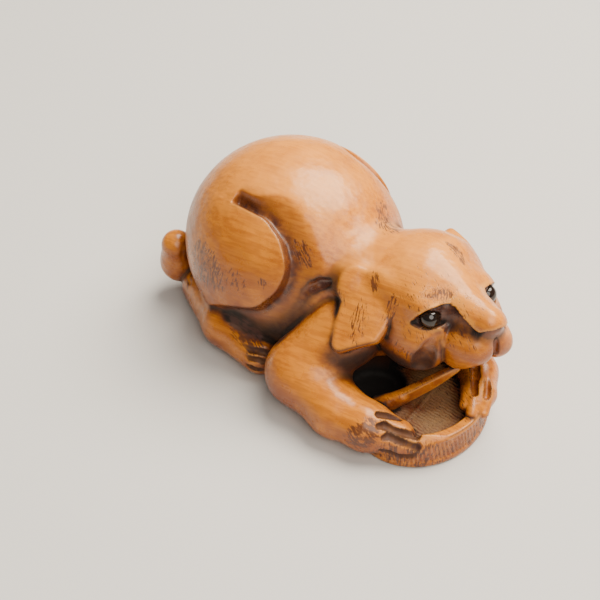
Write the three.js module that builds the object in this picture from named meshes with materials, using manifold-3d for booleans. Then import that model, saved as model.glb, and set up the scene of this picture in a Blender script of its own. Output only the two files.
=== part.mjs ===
// A boxwood netsuke: a puppy lying down, its chin and forepaws on a straw sandal.
// One carving with two inlaid horn eyes. Millimetres, +Z up, muzzle towards +X.
//
// The carving is written as a distance field, negative inside the wood: rounded masses that
// are blended together, then crisp cuts. A net of vertices is drawn over its surface, thinned
// where the form is smooth, and cut flat where the netsuke stands.

import * as THREE from 'three';
import { mergeVertices } from 'three/addons/utils/BufferGeometryUtils.js';
import Module from 'manifold-3d';

const wasm = await Module();
wasm.setup();

const at = (x, y, z) => new THREE.Vector3(x, y, z);
const turned = (yaw, pitch = 0, roll = 0) => new THREE.Quaternion().setFromEuler(new THREE.Euler(
  THREE.MathUtils.degToRad(roll),
  THREE.MathUtils.degToRad(pitch),
  THREE.MathUtils.degToRad(yaw),
  'ZYX',
));

// ---------------------------------------------------------------- driving dimensions
// Places are in the carver's frame: z = 0 is the ground, x runs from tail to muzzle.
// ORIGIN is the point of that frame under the middle of the finished carving.
const ORIGIN = at(3.42, 2.8, 0);

const BODY_MIDDLE = 4.8;
const BACK = { centre: at(-4.7, 4.9, 12.9), radii: at(15.4, 14.7, 14.5) };
const CHEST = { centre: at(7.6, 4.4, 8.4), radii: at(10.3, 9.0, 9.4) };
const NAPE = { centre: at(7.6, 3.2, 15.8), radii: at(6.2, 5.2, 5.0) };
const TRUNK_BLEND = 3;

// A thigh's outline lies in the plane of the flank: x, and the height along the flank's slope.
// The flank is cut back outside it, deepest at the edge.
const THIGH = {
  corners: [
    [-24.0, 11.3], [-2.3, 11.2], [-0.6, 10.0], [-0.4, 8.9], [-0.7, 7.6], [-1.9, 5.5], [-3.5, 4.9],
    [-9.8, 3.0], [-24.0, -1.3],
  ],
  rounding: 3,
  slope: { y: 0.692, z: 0.722 },
  middleHeight: 8,
  upperStart: [-8.3, -7.5],
  lowerStart: [-12, -4],
  edge: [-0.05, 0.18],
  fade: { behind: 2.4, infront: 5.0 },
  widening: [-6, 0],
  spine: [2, 6],
  depth: 1.35,
};
const FAR_THIGH = { lower: 3.2, depth: 0.9 };
const HIND_LEG = {
  points: [at(-16.0, -1.5, 3.2), at(-8.0, -5.6, 3.6), at(-1.0, -7.4, 2.8)],
  radii: [3.4, 3.8, 2.8],
};
const TAIL = {
  points: [at(-18.3, 2.0, 4.5), at(-20.5, -1.6, 5.4), at(-20.3, -2.4, 9.0)],
  radii: [2.7, 2.6, 2.2],
};
const NEAR_ARM = {
  points: [
    at(10.0, -3.0, 10.5), at(7.0, -8.4, 5.2), at(14.0, -10.2, 3.8), at(18.8, -10.1, 3.7),
    at(22.8, -8.9, 3.4),
  ],
  radii: [5.2, 4.7, 3.6, 3.1, 2.3],
};
const FAR_ARM = {
  points: [at(9.5, 10.0, 9.0), at(12.5, 12.8, 4.8), at(20.0, 10.6, 4.2), at(25.6, 5.6, 4.9)],
  radii: [5.0, 4.2, 3.4, 2.6],
};
const FAR_PAW = {
  points: [at(25.4, 6.2, 4.8), at(27.6, 2.6, 5.0), at(28.4, 0.6, 4.6)],
  radii: [2.6, 2.3, 1.5],
};
const FAR_TOES = [
  { points: [at(26.6, 1.6, 5.8), at(27.4, -0.4, 5.2)], radii: [0.9, 0.75] },
  { points: [at(27.8, 0.8, 5.6), at(28.8, -0.9, 4.9)], radii: [0.95, 0.8] },
  { points: [at(28.9, 2.6, 5.6), at(29.7, 0.6, 4.4)], radii: [0.9, 0.75] },
];
const ARMPIT = {
  points: [
    at(3.4, -8.9, 9.0), at(4.2, -7.3, 12.4), at(5.3, -5.7, 16.1), at(5.9, -5.0, 16.8),
    at(6.6, -4.1, 17.3), at(8.2, -2.8, 17.7), at(9.4, -2.2, 17.6),
  ],
  radii: [0.35, 0.5, 0.75, 0.9, 0.95, 0.8, 0.5],
};
const TOE_GROOVES = [
  [at(20.5, -9.8, 6.8), at(22.0, -8.0, 5.9)],
  [at(21.3, -11.0, 6.1), at(23.1, -9.95, 5.5), at(25.3, -8.4, 4.8)],
  [at(22.4, -11.4, 4.9), at(23.8, -10.5, 4.7), at(26.0, -9.3, 3.7)],
  [at(22.3, -11.7, 2.8), at(24.4, -10.6, 2.0), at(26.3, -9.5, 2.7)],
];
const TOE_GROOVE_RADIUS = 0.42;

const SANDAL = {
  centre: at(21.2, -1.0, 2.4),
  turn: turned(4),
  halfLength: 10.2,
  halfWidth: 8.6,
  halfHeight: 2.4,
  treadHeight: 0.9,
  treadShare: 0.83,
  bevel: { place: at(25.53, -8.32, 4.8), normal: at(0.447, -0.64, 0.63) },
};
const THONG = {
  start: at(19.0, -5.3, 4.3),
  end: at(25.3, 1.1, 9.9),
  sag: -0.25,
  height: 1.8,
  width: 1.4,
  taper: 0.4,
  foot: {
    points: [at(17.4, -5.7, 3.7), at(18.6, -5.4, 4.1), at(20.2, -4.4, 5.3)],
    radii: [0.9, 1.1, 0.8],
  },
};

// The head has its own frame: x out along the muzzle, y to the animal's left, z up.
// In front it leans a little to the animal's left.
const HEAD = { centre: at(16.8, 5.2, 15.1), turn: turned(-15, -5), lean: 0.24 };
const NECK = { tight: 0.4, soft: 3.2, behind: [0, 5], above: [0, 3] };
const BROW_EDGE = [
  [4.2, -9.0], [4.6, 0.7], [4.99, 1.46], [5.71, 2.67], [6.44, 3.72], [6.87, 4.35], [7.3, 4.6],
  [7.82, 4.4], [8.95, 3.86], [10.4, 3.15], [11.62, 2.31], [12.33, 1.85], [13.0, 1.95],
];
const LOWER_LID = [
  [4.2, 2.0], [4.9, 1.6], [5.61, 1.35], [6.42, 1.1], [7.16, 1.0], [7.73, 1.2], [8.1, 0.8],
  [8.5, -1.0], [9.0, -3.0], [15.0, -4.0],
];
const BROW_DEPTH = [
  [4.5, 0.0], [5.2, 0.6], [6.2, 0.85], [7.8, 1.0], [9.0, 1.1], [11.0, 0.9], [12.3, 0.5], [15.0, 0.4],
];
const BROW_CRISPNESS = 0.16;
const LID_SLOPE = [-0.1, 0.35];
const NEAR_EAR = { root: at(12.2, -0.8, 19.4), tip: at(14.6, -8.0, 11.8), face: at(0.11, -0.757, 0.643) };
const FAR_EAR = { root: at(-1.3, 6.6, 4.2), tip: at(-3.1, 9.4, -4.6), face: at(0.15, 1.0, 0.45) };
// The leaf of an ear: how far down it each corner lies, and how far forward.
const EAR = {
  corners: [
    [0.6, -1.4], [0.4, 0.8], [1.7, 2.2], [3.7, 2.9], [6.0, 2.5], [7.2, 2.0], [9.2, -1.9],
    [6.6, -2.1], [2.6, -1.75],
  ],
  rounding: 1.25,
  halfThickness: 0.85,
  cupping: 0.03,
  reach: 9.5,
};
const EYE = { place: at(6.3, 4.8, 2.0), radius: 1.35, gap: 0.3 };

// A blind hollow lies under the chin, and two cord holes meet inside the belly.
const HOLLOW_FLOOR = { centre: at(11.5, -4.5, 0), radii: at(5, 5, 3.2) };
const HOLLOW = { centre: at(15, -2.5, 0), halfLength: 3.9, halfWidth: 3.6, floor: 1.3, roof: 7.5 };
const CORD_HOLES = {
  points: [
    at(-9.5, 4.8, -3.5), at(-8.8, 4.8, 4.0), at(-3.0, 4.8, 6.6), at(2.6, 4.8, 4.0),
    at(3.2, 4.8, -3.5),
  ],
  radii: [3.5, 3.4, 2.0, 1.9, 2.1],
};

const NET = { low: at(-27, -17, -2.2), high: at(33.5, 24, 30), step: 0.56 };
const CARVING_TRIANGLES = 8640;
const BELOW_GROUND = 1.5;

// ---------------------------------------------------------------- distance functions

/** The lower of two distances, with their meeting rounded over the given width. */
function join(a, b, width) {
  if (width === 0) {
    return Math.min(a, b);
  }
  const near = Math.max(width - Math.abs(a - b), 0) / width;
  return Math.min(a, b) - near * near * width / 4;
}

/** The part of a that lies in b as well. */
const common = (a, b, width) => -join(-a, -b, width);

/** a with b carved out of it. */
const cut = (a, b, width) => common(a, -b, width);

const { clamp, smoothstep } = THREE.MathUtils;

/** The height at x of a line through the given places, level beyond its ends. */
function heightOn(line, x) {
  const next = line.findIndex(([end]) => end > x);
  if (next <= 0) {
    return next === 0 ? line[0][1] : line.at(-1)[1];
  }
  const [fromX, from] = line[next - 1];
  const [toX, to] = line[next];
  return from + (to - from) * (x - fromX) / (toX - fromX);
}

/** The distance to a flat outline with straight sides, negative inside it. */
function polygon(x, y, corners) {
  let square = Infinity;
  let inside = false;
  corners.forEach(([bx, by], i) => {
    const [ax, ay] = corners.at(i - 1);
    const [dx, dy] = [bx - ax, by - ay];
    const share = clamp(((x - ax) * dx + (y - ay) * dy) / (dx * dx + dy * dy), 0, 1);
    square = Math.min(square, (x - ax - share * dx) ** 2 + (y - ay - share * dy) ** 2);
    if ((ay > y) !== (by > y) && x < ax + (y - ay) * dx / dy) {
      inside = !inside;
    }
  });
  return inside ? -Math.sqrt(square) : Math.sqrt(square);
}

function ellipsoid({ centre, radii, turn = new THREE.Quaternion() }) {
  const back = turn.clone().invert();
  const q = new THREE.Vector3();
  return (p) => {
    q.subVectors(p, centre).applyQuaternion(back).divide(radii);
    const reach = q.length();
    const slope = Math.max(q.divide(radii).length(), 1e-6);
    return reach * (reach - 1) / slope;
  };
}

/** A limb: capsules end to end, each with a radius at both ends. */
function limb({ points, radii }, blend) {
  const spans = points.slice(1).map((end, i) => {
    const along = end.clone().sub(points[i]);
    return { start: points[i], along, square: along.lengthSq(), from: radii[i], to: radii[i + 1] };
  });
  const q = new THREE.Vector3();
  return (p) => {
    let distance = Infinity;
    for (const { start, along, square, from, to } of spans) {
      q.subVectors(p, start);
      const share = clamp(q.dot(along) / square, 0, 1);
      const span = q.addScaledVector(along, -share).length() - (from + (to - from) * share);
      distance = distance === Infinity ? span : join(distance, span, blend);
    }
    return distance;
  };
}

// ---------------------------------------------------------------- the puppy's body

function makeTrunk() {
  const back = ellipsoid(BACK);
  const chest = ellipsoid(CHEST);
  const nape = ellipsoid(NAPE);
  return (p) => join(join(back(p), chest(p), TRUNK_BLEND), nape(p), TRUNK_BLEND);
}

/** How far the flank is cut back beside a thigh. */
function thighCut(p, depth) {
  const up = THIGH.slope.y * p.y + THIGH.slope.z * p.z;
  const outline = polygon(p.x, up, THIGH.corners) - THIGH.rounding;
  const start = up > THIGH.middleHeight ? THIGH.upperStart : THIGH.lowerStart;
  const { behind, infront } = THIGH.fade;
  const width = behind + (infront - behind) * smoothstep(p.x, ...THIGH.widening);
  const fade = 1 - smoothstep(outline, 0, width);
  return depth * smoothstep(p.x, ...start) * smoothstep(outline, ...THIGH.edge) * fade;
}

function makeSandal() {
  const back = SANDAL.turn.clone().invert();
  const q = new THREE.Vector3();
  return (p) => {
    q.subVectors(p, SANDAL.bevel.place);
    const bevel = q.dot(SANDAL.bevel.normal);
    q.subVectors(p, SANDAL.centre).applyQuaternion(back);
    const ring = Math.hypot(q.x / SANDAL.halfWidth, q.y / SANDAL.halfLength);
    const scale = SANDAL.halfWidth * 1.1;
    let slab = common((ring - 1) * scale, Math.abs(q.z) - SANDAL.halfHeight, 0.5);
    slab = common(slab, bevel, 0.3);
    const hollow = common((ring - SANDAL.treadShare) * scale, SANDAL.treadHeight - q.z, 0.4);
    return cut(slab, hollow, 0.3);
  };
}

/** The thong: a flat strap that rises under the chin from a spread foot. */
function makeThong() {
  const along = THONG.end.clone().sub(THONG.start);
  const length = along.length();
  along.normalize();
  const side = along.clone().cross(at(0, 0, 1)).normalize();
  const up = side.clone().cross(along);
  const foot = limb(THONG.foot, 0.5);
  const q = new THREE.Vector3();
  return (p) => {
    q.subVectors(p, THONG.start);
    const share = q.dot(along) / length;
    const inside = clamp(share, 0, 1);
    const size = 1 - THONG.taper * inside ** 3;
    const across = Math.abs(q.dot(side)) - THONG.width / 2 * size;
    const sag = 4 * THONG.sag * inside * (1 - inside);
    const rise = Math.abs(q.dot(up) - sag) - THONG.height / 2 * size;
    const ends = (Math.abs(share - 0.5) - 0.5) * length;
    return join(common(common(across, rise, 0.35), ends, 0.4), foot(p), 0.5);
  };
}

/** The hollow under the chin, between the near arm and the sandal. */
function hollow(p) {
  const x = (p.x - HOLLOW.centre.x) / HOLLOW.halfLength;
  const y = (p.y - HOLLOW.centre.y) / HOLLOW.halfWidth;
  const column = common((Math.hypot(x, y) - 1) * HOLLOW.halfWidth, p.z - HOLLOW.roof, 1.0);
  return common(column, HOLLOW.floor - p.z, 0.8);
}

// ---------------------------------------------------------------- the puppy's head

const HEAD_BACK = HEAD.turn.clone().invert();
const toHead = (p, target) => target.subVectors(p, HEAD.centre).applyQuaternion(HEAD_BACK);

/** How far the front of the head sinks on the animal's left. */
const leanAt = (q) => HEAD.lean * Math.max(q.y, 0) * smoothstep(q.x, 0, 5);

/** The uncut head: cranium, cheeks, throat, brows and the bridge of the nose. */
function makeSkin() {
  const cranium = ellipsoid({ centre: at(0, 0, 0.2), radii: at(8.9, 8.5, 7.8) });
  const cheek = ellipsoid({ centre: at(1.6, 4.1, -2.4), radii: at(6.9, 4.6, 5.6), turn: turned(8) });
  const throat = ellipsoid({ centre: at(-1, 0, -5), radii: at(6, 6.5, 4.5) });
  const brow = ellipsoid({ centre: at(5.5, 4.1, 3.1), radii: at(2.2, 2.1, 1.5) });
  const bridge = limb({
    points: [at(5.5, 0, 1.6), at(8.8, 0, 1.6), at(10.9, 0, 1.65)],
    radii: [4.3, 3.2, 2.3],
  }, 1.0);
  return (q, half) => {
    const upper = common(cranium(q), -3 - q.z, 2.0);
    const skull = join(join(upper, cheek(half), 1.0), throat(q), 1.5);
    return join(skull, join(bridge(q), brow(half), 1.0), 2.0);
  };
}

/** Sockets, muzzle and the sides of the nose are cut back under a crisp edge. */
function browCut(q) {
  const below = heightOn(BROW_EDGE, q.x) - q.z;
  const above = q.z - heightOn(LOWER_LID, q.x);
  const depth = heightOn(BROW_DEPTH, q.x);
  return depth * smoothstep(below, 0, BROW_CRISPNESS) * smoothstep(above, ...LID_SLOPE);
}

/** The lips and the chin. */
function makeMuzzle() {
  const lip = ellipsoid({ centre: at(10.3, 1.9, -1.35), radii: at(2.9, 2.4, 2.2) });
  const flew = ellipsoid({ centre: at(9.1, 2.7, -3.1), radii: at(2.4, 1.9, 2.6) });
  const lipFront = ellipsoid({ centre: at(11.7, 0.95, -0.7), radii: at(1.7, 1.25, 2.2) });
  const chin = ellipsoid({ centre: at(6.4, 0, -4.6), radii: at(4.7, 2.6, 1.9) });
  const philtrum = limb({
    points: [at(13.2, 0, 2.0), at(13.5, 0, 0.2), at(13.2, 0, -2.2)],
    radii: [0.35, 0.3, 0.5],
  }, 0);
  return (q, half) => {
    const lips = join(join(lip(half), flew(half), 1.5), lipFront(half), 0.9);
    return join(cut(lips, philtrum(q), 0.4), chin(q), 0.3);
  };
}

/** A hanging ear: a thin cupped leaf, wider towards its tip. */
function makeEar({ root, tip, face }, forward) {
  const down = tip.clone().sub(root).normalize();
  const out = face.clone().addScaledVector(down, -face.dot(down)).normalize();
  const across = out.clone().cross(down).multiplyScalar(forward);
  const middle = root.clone().add(tip).divideScalar(2);
  const q = new THREE.Vector3();
  return (p) => {
    const away = middle.distanceTo(p);
    if (away > EAR.reach) {
      return away;
    }
    q.subVectors(p, root);
    const side = q.dot(across);
    const height = q.dot(out) + EAR.cupping * side * side;
    const outline = polygon(q.dot(down), side, EAR.corners) - EAR.rounding;
    return common(outline, Math.abs(height) - EAR.halfThickness, 0.6);
  };
}

function makeHead() {
  const skin = makeSkin();
  const muzzle = makeMuzzle();
  const nearEar = makeEar(NEAR_EAR, 1);
  const farEar = makeEar(FAR_EAR, -1);
  const crease = limb({
    points: [at(8.3, 4.2, 0.9), at(7.81, 5.9, -0.9), at(7.3, 6.6, -3.2), at(6.6, 6.4, -5.5)],
    radii: [0.2, 0.75, 1.2, 1.5],
  }, 0.4);
  const q = new THREE.Vector3();
  const half = new THREE.Vector3();
  return (p) => {
    toHead(p, q);
    const farLeaf = farEar(q);
    q.z += leanAt(q);
    half.set(q.x, Math.abs(q.y), q.z);
    let head = skin(q, half) + browCut(q);
    head = cut(head, crease(half), 0.3);
    head = join(head, muzzle(q, half), 0.3);
    return join(join(head, farLeaf, 0.4), nearEar(p), 0.4);
  };
}

/** How softly the head joins the body: more at the nape than at the throat. */
function neckWidth(p, q) {
  toHead(p, q);
  const share = smoothstep(-q.x, ...NECK.behind) * smoothstep(q.z, ...NECK.above);
  return NECK.tight + (NECK.soft - NECK.tight) * share;
}

// ---------------------------------------------------------------- the whole carving

function makeCarving() {
  const trunk = makeTrunk();
  const hindLeg = limb(HIND_LEG, 1.0);
  const tail = limb(TAIL, 1.5);
  const sandal = makeSandal();
  const farArm = limb(FAR_ARM, 1.5);
  const farPaw = limb(FAR_PAW, 0.6);
  const farToes = FAR_TOES.map((toe) => limb(toe, 0));
  const armpit = limb(ARMPIT, 0.4);
  const nearArm = limb(NEAR_ARM, 1.5);
  const grooves = TOE_GROOVES.map((points) => limb({
    points,
    radii: points.map(() => TOE_GROOVE_RADIUS),
  }, 0));
  const hollowFloor = ellipsoid(HOLLOW_FLOOR);
  const thong = makeThong();
  const head = makeHead();
  const cordHoles = limb(CORD_HOLES, 0.5);
  const far = new THREE.Vector3();
  const farThigh = new THREE.Vector3();
  const inHead = new THREE.Vector3();
  return (p) => {
    far.set(p.x, 2 * BODY_MIDDLE - p.y, p.z);
    farThigh.set(p.x, far.y, p.z + FAR_THIGH.lower);
    const flank = p.y < BODY_MIDDLE ? thighCut(p, THIGH.depth) : thighCut(farThigh, FAR_THIGH.depth);
    let wood = trunk(p) + flank * smoothstep(Math.abs(p.y - BODY_MIDDLE), ...THIGH.spine);
    wood = join(wood, Math.min(hindLeg(p), hindLeg(far)), 0.6);
    wood = join(wood, tail(p), 0.5);
    wood = join(wood, hollowFloor(p), 0.5);
    wood = join(wood, sandal(p), 0.3);
    wood = join(wood, farArm(p), 0.8);
    wood = join(wood, farPaw(p), 0.3);
    for (const toe of farToes) {
      wood = join(wood, toe(p), 0.2);
    }
    wood = cut(wood, armpit(p), 0.25);
    wood = join(wood, nearArm(p), 0.5);
    for (const groove of grooves) {
      wood = cut(wood, groove(p), 0.2);
    }
    wood = cut(wood, hollow(p), 0.4);
    wood = join(wood, thong(p), 0.2);
    wood = join(wood, head(p), neckWidth(p, inHead));
    wood = cut(wood, cordHoles(p), 0.3);
    return common(wood, -BELOW_GROUND - p.z, 0.2);
  };
}

// ---------------------------------------------------------------- from field to faces

const CORNERS = [0, 1, 2, 3, 4, 5, 6, 7].map((n) => [n >> 2, (n >> 1) & 1, n & 1]);
const EDGES = CORNERS.flatMap((a, i) => CORNERS.flatMap((b, j) => {
  const apart = Math.abs(a[0] - b[0]) + Math.abs(a[1] - b[1]) + Math.abs(a[2] - b[2]);
  return j > i && apart === 1 ? [[i, j]] : [];
}));

const SIDES = [0, 1, 2].flatMap((axis) => [0, 1].map((level) => (
  CORNERS.map((_, i) => i).filter((i) => CORNERS[i][axis] === level)
)));

/** True where the opposite corners of one side of a cell are inside and the others outside. */
function hasChequeredSide(code) {
  return SIDES.some(([a, b, c, d]) => {
    const [inA, inB, inC, inD] = [a, b, c, d].map((i) => (code >> i) & 1);
    return inA === inD && inB === inC && inA !== inB;
  });
}

/** True where the inside or the outside corners of a cell fall into more than one group. */
function isParted(code) {
  return [0, 1].some((side) => {
    const members = CORNERS.map((_, i) => i).filter((i) => ((code >> i) & 1) === side);
    if (members.length === 0) {
      return false;
    }
    const reached = new Set([members[0]]);
    for (const corner of reached) {
      for (const [a, b] of EDGES) {
        const next = a === corner ? b : b === corner ? a : corner;
        if (members.includes(next)) {
          reached.add(next);
        }
      }
    }
    return reached.size < members.length;
  });
}
const AMBIGUOUS = Array.from({ length: 256 }, (_, code) => hasChequeredSide(code) || isParted(code));

/** Samples of a field on a regular grid, with the index arithmetic that goes with them. */
class Grid {
  constructor(field, { low, high, step }) {
    this.low = low;
    this.step = step;
    this.counts = high.clone().sub(low).divideScalar(step).ceil().addScalar(1).toArray();
    const [nx, ny, nz] = this.counts;
    this.strides = [ny * nz, nz, 1];
    this.values = new Float64Array(nx * ny * nz);
    this.offsets = CORNERS.map((c) => c[0] * this.strides[0] + c[1] * this.strides[1] + c[2]);
    const p = new THREE.Vector3();
    this.each([0, 0, 0], (i, j, k, index) => {
      p.set(i, j, k).multiplyScalar(step).add(low);
      this.values[index] = field(p);
    });
    this.makePlain();
  }

  /** Visits the grid's points, or its cells when `less` is [1, 1, 1]. */
  each(less, visit) {
    const [nx, ny, nz] = this.counts;
    for (let i = 0; i < nx - less[0]; i += 1) {
      for (let j = 0; j < ny - less[1]; j += 1) {
        for (let k = 0; k < nz - less[2]; k += 1) {
          visit(i, j, k, i * this.strides[0] + j * this.strides[1] + k);
        }
      }
    }
  }

  code(index) {
    return this.offsets.reduce((sum, offset, n) => sum + (this.values[index + offset] < 0 ? 1 << n : 0), 0);
  }

  /** Fills the outside corner nearest the wood in every ambiguous cell, until none is left. */
  makePlain() {
    let filled = true;
    while (filled) {
      filled = false;
      this.each([1, 1, 1], (i, j, k, index) => {
        if (AMBIGUOUS[this.code(index)]) {
          const outside = this.offsets.map((offset) => index + offset).filter((n) => this.values[n] >= 0);
          const nearest = outside.reduce((best, n) => (this.values[n] < this.values[best] ? n : best));
          this.values[nearest] = -1e-3;
          filled = true;
        }
      });
    }
  }
}

/** One vertex in each cell that the surface passes through, and two faces on each edge. */
function drawNet(grid) {
  const points = [];
  const faces = [];
  const vertexOf = new Map();
  grid.each([1, 1, 1], (i, j, k, index) => {
    const code = grid.code(index);
    if (code === 0 || code === 255) {
      return;
    }
    const sum = [0, 0, 0];
    let crossings = 0;
    for (const [a, b] of EDGES) {
      const from = grid.values[index + grid.offsets[a]];
      const to = grid.values[index + grid.offsets[b]];
      if ((from < 0) !== (to < 0)) {
        const share = from / (from - to);
        CORNERS[a].forEach((start, axis) => {
          sum[axis] += start + share * (CORNERS[b][axis] - start);
        });
        crossings += 1;
      }
    }
    vertexOf.set(index, points.length);
    points.push([i, j, k].map((n, axis) => (
      grid.low.getComponent(axis) + grid.step * (n + sum[axis] / crossings)
    )));
  });
  for (const [axis, u, v] of [[0, 1, 2], [1, 2, 0], [2, 0, 1]]) {
    const [du, dv] = [grid.strides[u], grid.strides[v]];
    grid.each([0, 1, 2].map((n) => (n === axis ? 1 : 0)), (i, j, k, index) => {
      const inside = grid.values[index] < 0;
      if (inside !== grid.values[index + grid.strides[axis]] < 0) {
        const ring = [index - du - dv, index - dv, index, index - du].map((cell) => vertexOf.get(cell));
        const [a, b, c, d] = inside ? ring : ring.reverse();
        faces.push([a, b, c], [a, c, d]);
      }
    });
  }
  return { points, faces };
}

// ---------------------------------------------------------------- thinning the net

/** A heap that gives back the item with the least cost first. */
class Heap {
  items = [];

  push(item) {
    this.items.push(item);
    let at = this.items.length - 1;
    while (at > 0 && this.items[at].cost < this.items[(at - 1) >> 1].cost) {
      this.swap(at, (at - 1) >> 1);
      at = (at - 1) >> 1;
    }
  }

  pop() {
    this.swap(0, this.items.length - 1);
    const least = this.items.pop();
    let at = 0;
    for (let child = 1; child < this.items.length; child = 2 * at + 1) {
      if (child + 1 < this.items.length && this.items[child + 1].cost < this.items[child].cost) {
        child += 1;
      }
      if (this.items[at].cost <= this.items[child].cost) {
        break;
      }
      this.swap(at, child);
      at = child;
    }
    return least;
  }

  swap(a, b) {
    [this.items[a], this.items[b]] = [this.items[b], this.items[a]];
  }
}

const minus = (a, b) => [a[0] - b[0], a[1] - b[1], a[2] - b[2]];
const dot = (a, b) => a[0] * b[0] + a[1] * b[1] + a[2] * b[2];
const cross = (a, b) => [
  a[1] * b[2] - a[2] * b[1],
  a[2] * b[0] - a[0] * b[2],
  a[0] * b[1] - a[1] * b[0],
];

/** Joins the ends of edges, cheapest first, where that moves the surface least. */
class Thinning {
  constructor({ points, faces }) {
    this.points = points;
    this.faces = faces;
    this.around = points.map(() => new Set());
    this.stamps = points.map(() => 0);
    this.errors = points.map(() => new Float64Array(10));
    this.heap = new Heap();
    this.left = faces.length;
    faces.forEach((face, index) => {
      face.forEach((corner) => this.around[corner].add(index));
      this.addPlane(face);
    });
    faces.forEach(([a, b, c]) => [[a, b], [b, c], [c, a]].forEach(([from, to]) => {
      if (from < to) {
        this.offer(from, to);
      }
    }));
  }

  normal(corners) {
    const [a, b, c] = corners;
    return cross(minus(b, a), minus(c, a));
  }

  /** Adds the squared distance from a face's plane to the errors of its corners. */
  addPlane(face) {
    const corners = face.map((corner) => this.points[corner]);
    const normal = this.normal(corners);
    const size = Math.sqrt(dot(normal, normal)) || 1;
    const n = normal.map((value) => value / size);
    const plane = [...n, -dot(n, corners[0])];
    let slot = 0;
    for (let i = 0; i < 4; i += 1) {
      for (let j = i; j < 4; j += 1) {
        face.forEach((corner) => {
          this.errors[corner][slot] += plane[i] * plane[j] * size;
        });
        slot += 1;
      }
    }
  }

  cost(q, [x, y, z]) {
    return q[0] * x * x + 2 * q[1] * x * y + 2 * q[2] * x * z + 2 * q[3] * x + q[4] * y * y
      + 2 * q[5] * y * z + 2 * q[6] * y + q[7] * z * z + 2 * q[8] * z + q[9];
  }

  /** The point with the least error, or the middle of the edge where there is no such point. */
  bestPoint(q, a, b) {
    const middle = a.map((value, axis) => (value + b[axis]) / 2);
    const m = [[q[0], q[1], q[2]], [q[1], q[4], q[5]], [q[2], q[5], q[7]]];
    const volume = dot(m[0], cross(m[1], m[2]));
    if (Math.abs(volume) < 1e-4) {
      return middle;
    }
    const right = [-q[3], -q[6], -q[8]];
    const best = [0, 1, 2].map((axis) => {
      const rows = m.map((row, i) => row.map((value, j) => (j === axis ? right[i] : value)));
      return dot(rows[0], cross(rows[1], rows[2])) / volume;
    });
    const shift = minus(best, middle);
    const edge = minus(b, a);
    return dot(shift, shift) > dot(edge, edge) ? middle : best;
  }

  offer(a, b) {
    const q = this.errors[a].map((value, i) => value + this.errors[b][i]);
    const point = this.bestPoint(q, this.points[a], this.points[b]);
    const edge = minus(this.points[a], this.points[b]);
    const cost = this.cost(q, point) + 1e-5 * dot(edge, edge);
    this.heap.push({ cost, a, b, point, stamp: this.stamps[a] + this.stamps[b] });
  }

  neighbours(vertex) {
    const found = new Set([...this.around[vertex]].flatMap((face) => this.faces[face]));
    found.delete(vertex);
    return found;
  }

  /** True if no face of the vertex would fold over or collapse when it moves to the point. */
  staysFlat(vertex, other, point) {
    return [...this.around[vertex]].every((index) => {
      const face = this.faces[index];
      if (face.includes(other)) {
        return true;
      }
      const before = this.normal(face.map((corner) => this.points[corner]));
      const after = this.normal(face.map((corner) => (corner === vertex ? point : this.points[corner])));
      const sizes = Math.sqrt(dot(before, before) * dot(after, after));
      return dot(before, after) > 0.35 * sizes && dot(after, after) > 1e-6;
    });
  }

  collapse({ a, b, point }) {
    const near = this.neighbours(a);
    const shared = [...this.neighbours(b)].filter((vertex) => near.has(vertex));
    if (shared.length !== 2 || !this.staysFlat(a, b, point) || !this.staysFlat(b, a, point)) {
      return;
    }
    for (const index of [...this.around[b]]) {
      const face = this.faces[index];
      if (face.includes(a)) {
        face.forEach((corner) => this.around[corner].delete(index));
        this.faces[index] = null;
        this.left -= 1;
      } else {
        face[face.indexOf(b)] = a;
        this.around[a].add(index);
      }
    }
    this.around[b].clear();
    this.points[a] = point;
    this.errors[a] = this.errors[a].map((value, i) => value + this.errors[b][i]);
    this.stamps[a] += this.stamps[b] + 1;
    this.stamps[b] = -Infinity;
    for (const vertex of this.neighbours(a)) {
      this.offer(a, vertex);
    }
  }

  run(limit) {
    while (this.left > limit && this.heap.items.length > 0) {
      const edge = this.heap.pop();
      if (this.stamps[edge.a] + this.stamps[edge.b] === edge.stamp) {
        this.collapse(edge);
      }
    }
    return { points: this.points, faces: this.faces.filter((face) => face !== null) };
  }
}

// ---------------------------------------------------------------- solids and meshes

function toGeometry({ points, faces }) {
  const geometry = new THREE.BufferGeometry();
  geometry.setAttribute('position', new THREE.Float32BufferAttribute(points.flat(), 3));
  geometry.setIndex(faces.flat());
  return geometry;
}

function toSolid(geometry) {
  const bare = new THREE.BufferGeometry();
  bare.setAttribute('position', geometry.getAttribute('position'));
  bare.setIndex(geometry.getIndex());
  const merged = mergeVertices(bare, 1e-4);
  return new wasm.Manifold(new wasm.Mesh({
    numProp: 3,
    vertProperties: new Float32Array(merged.getAttribute('position').array),
    triVerts: new Uint32Array(merged.getIndex().array),
  }));
}

function fromSolid(solid) {
  const { vertProperties, triVerts } = solid.getMesh();
  const geometry = new THREE.BufferGeometry();
  geometry.setAttribute('position', new THREE.BufferAttribute(vertProperties, 3));
  geometry.setIndex(new THREE.BufferAttribute(triVerts, 1));
  geometry.computeVertexNormals();
  return geometry;
}

/** The place of an eye: side is -1 for the animal's right, 1 for its left. */
function eyePlace(side) {
  const place = at(EYE.place.x, side * EYE.place.y, EYE.place.z);
  place.z -= leanAt(place);
  return place.applyQuaternion(HEAD.turn).add(HEAD.centre);
}

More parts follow.
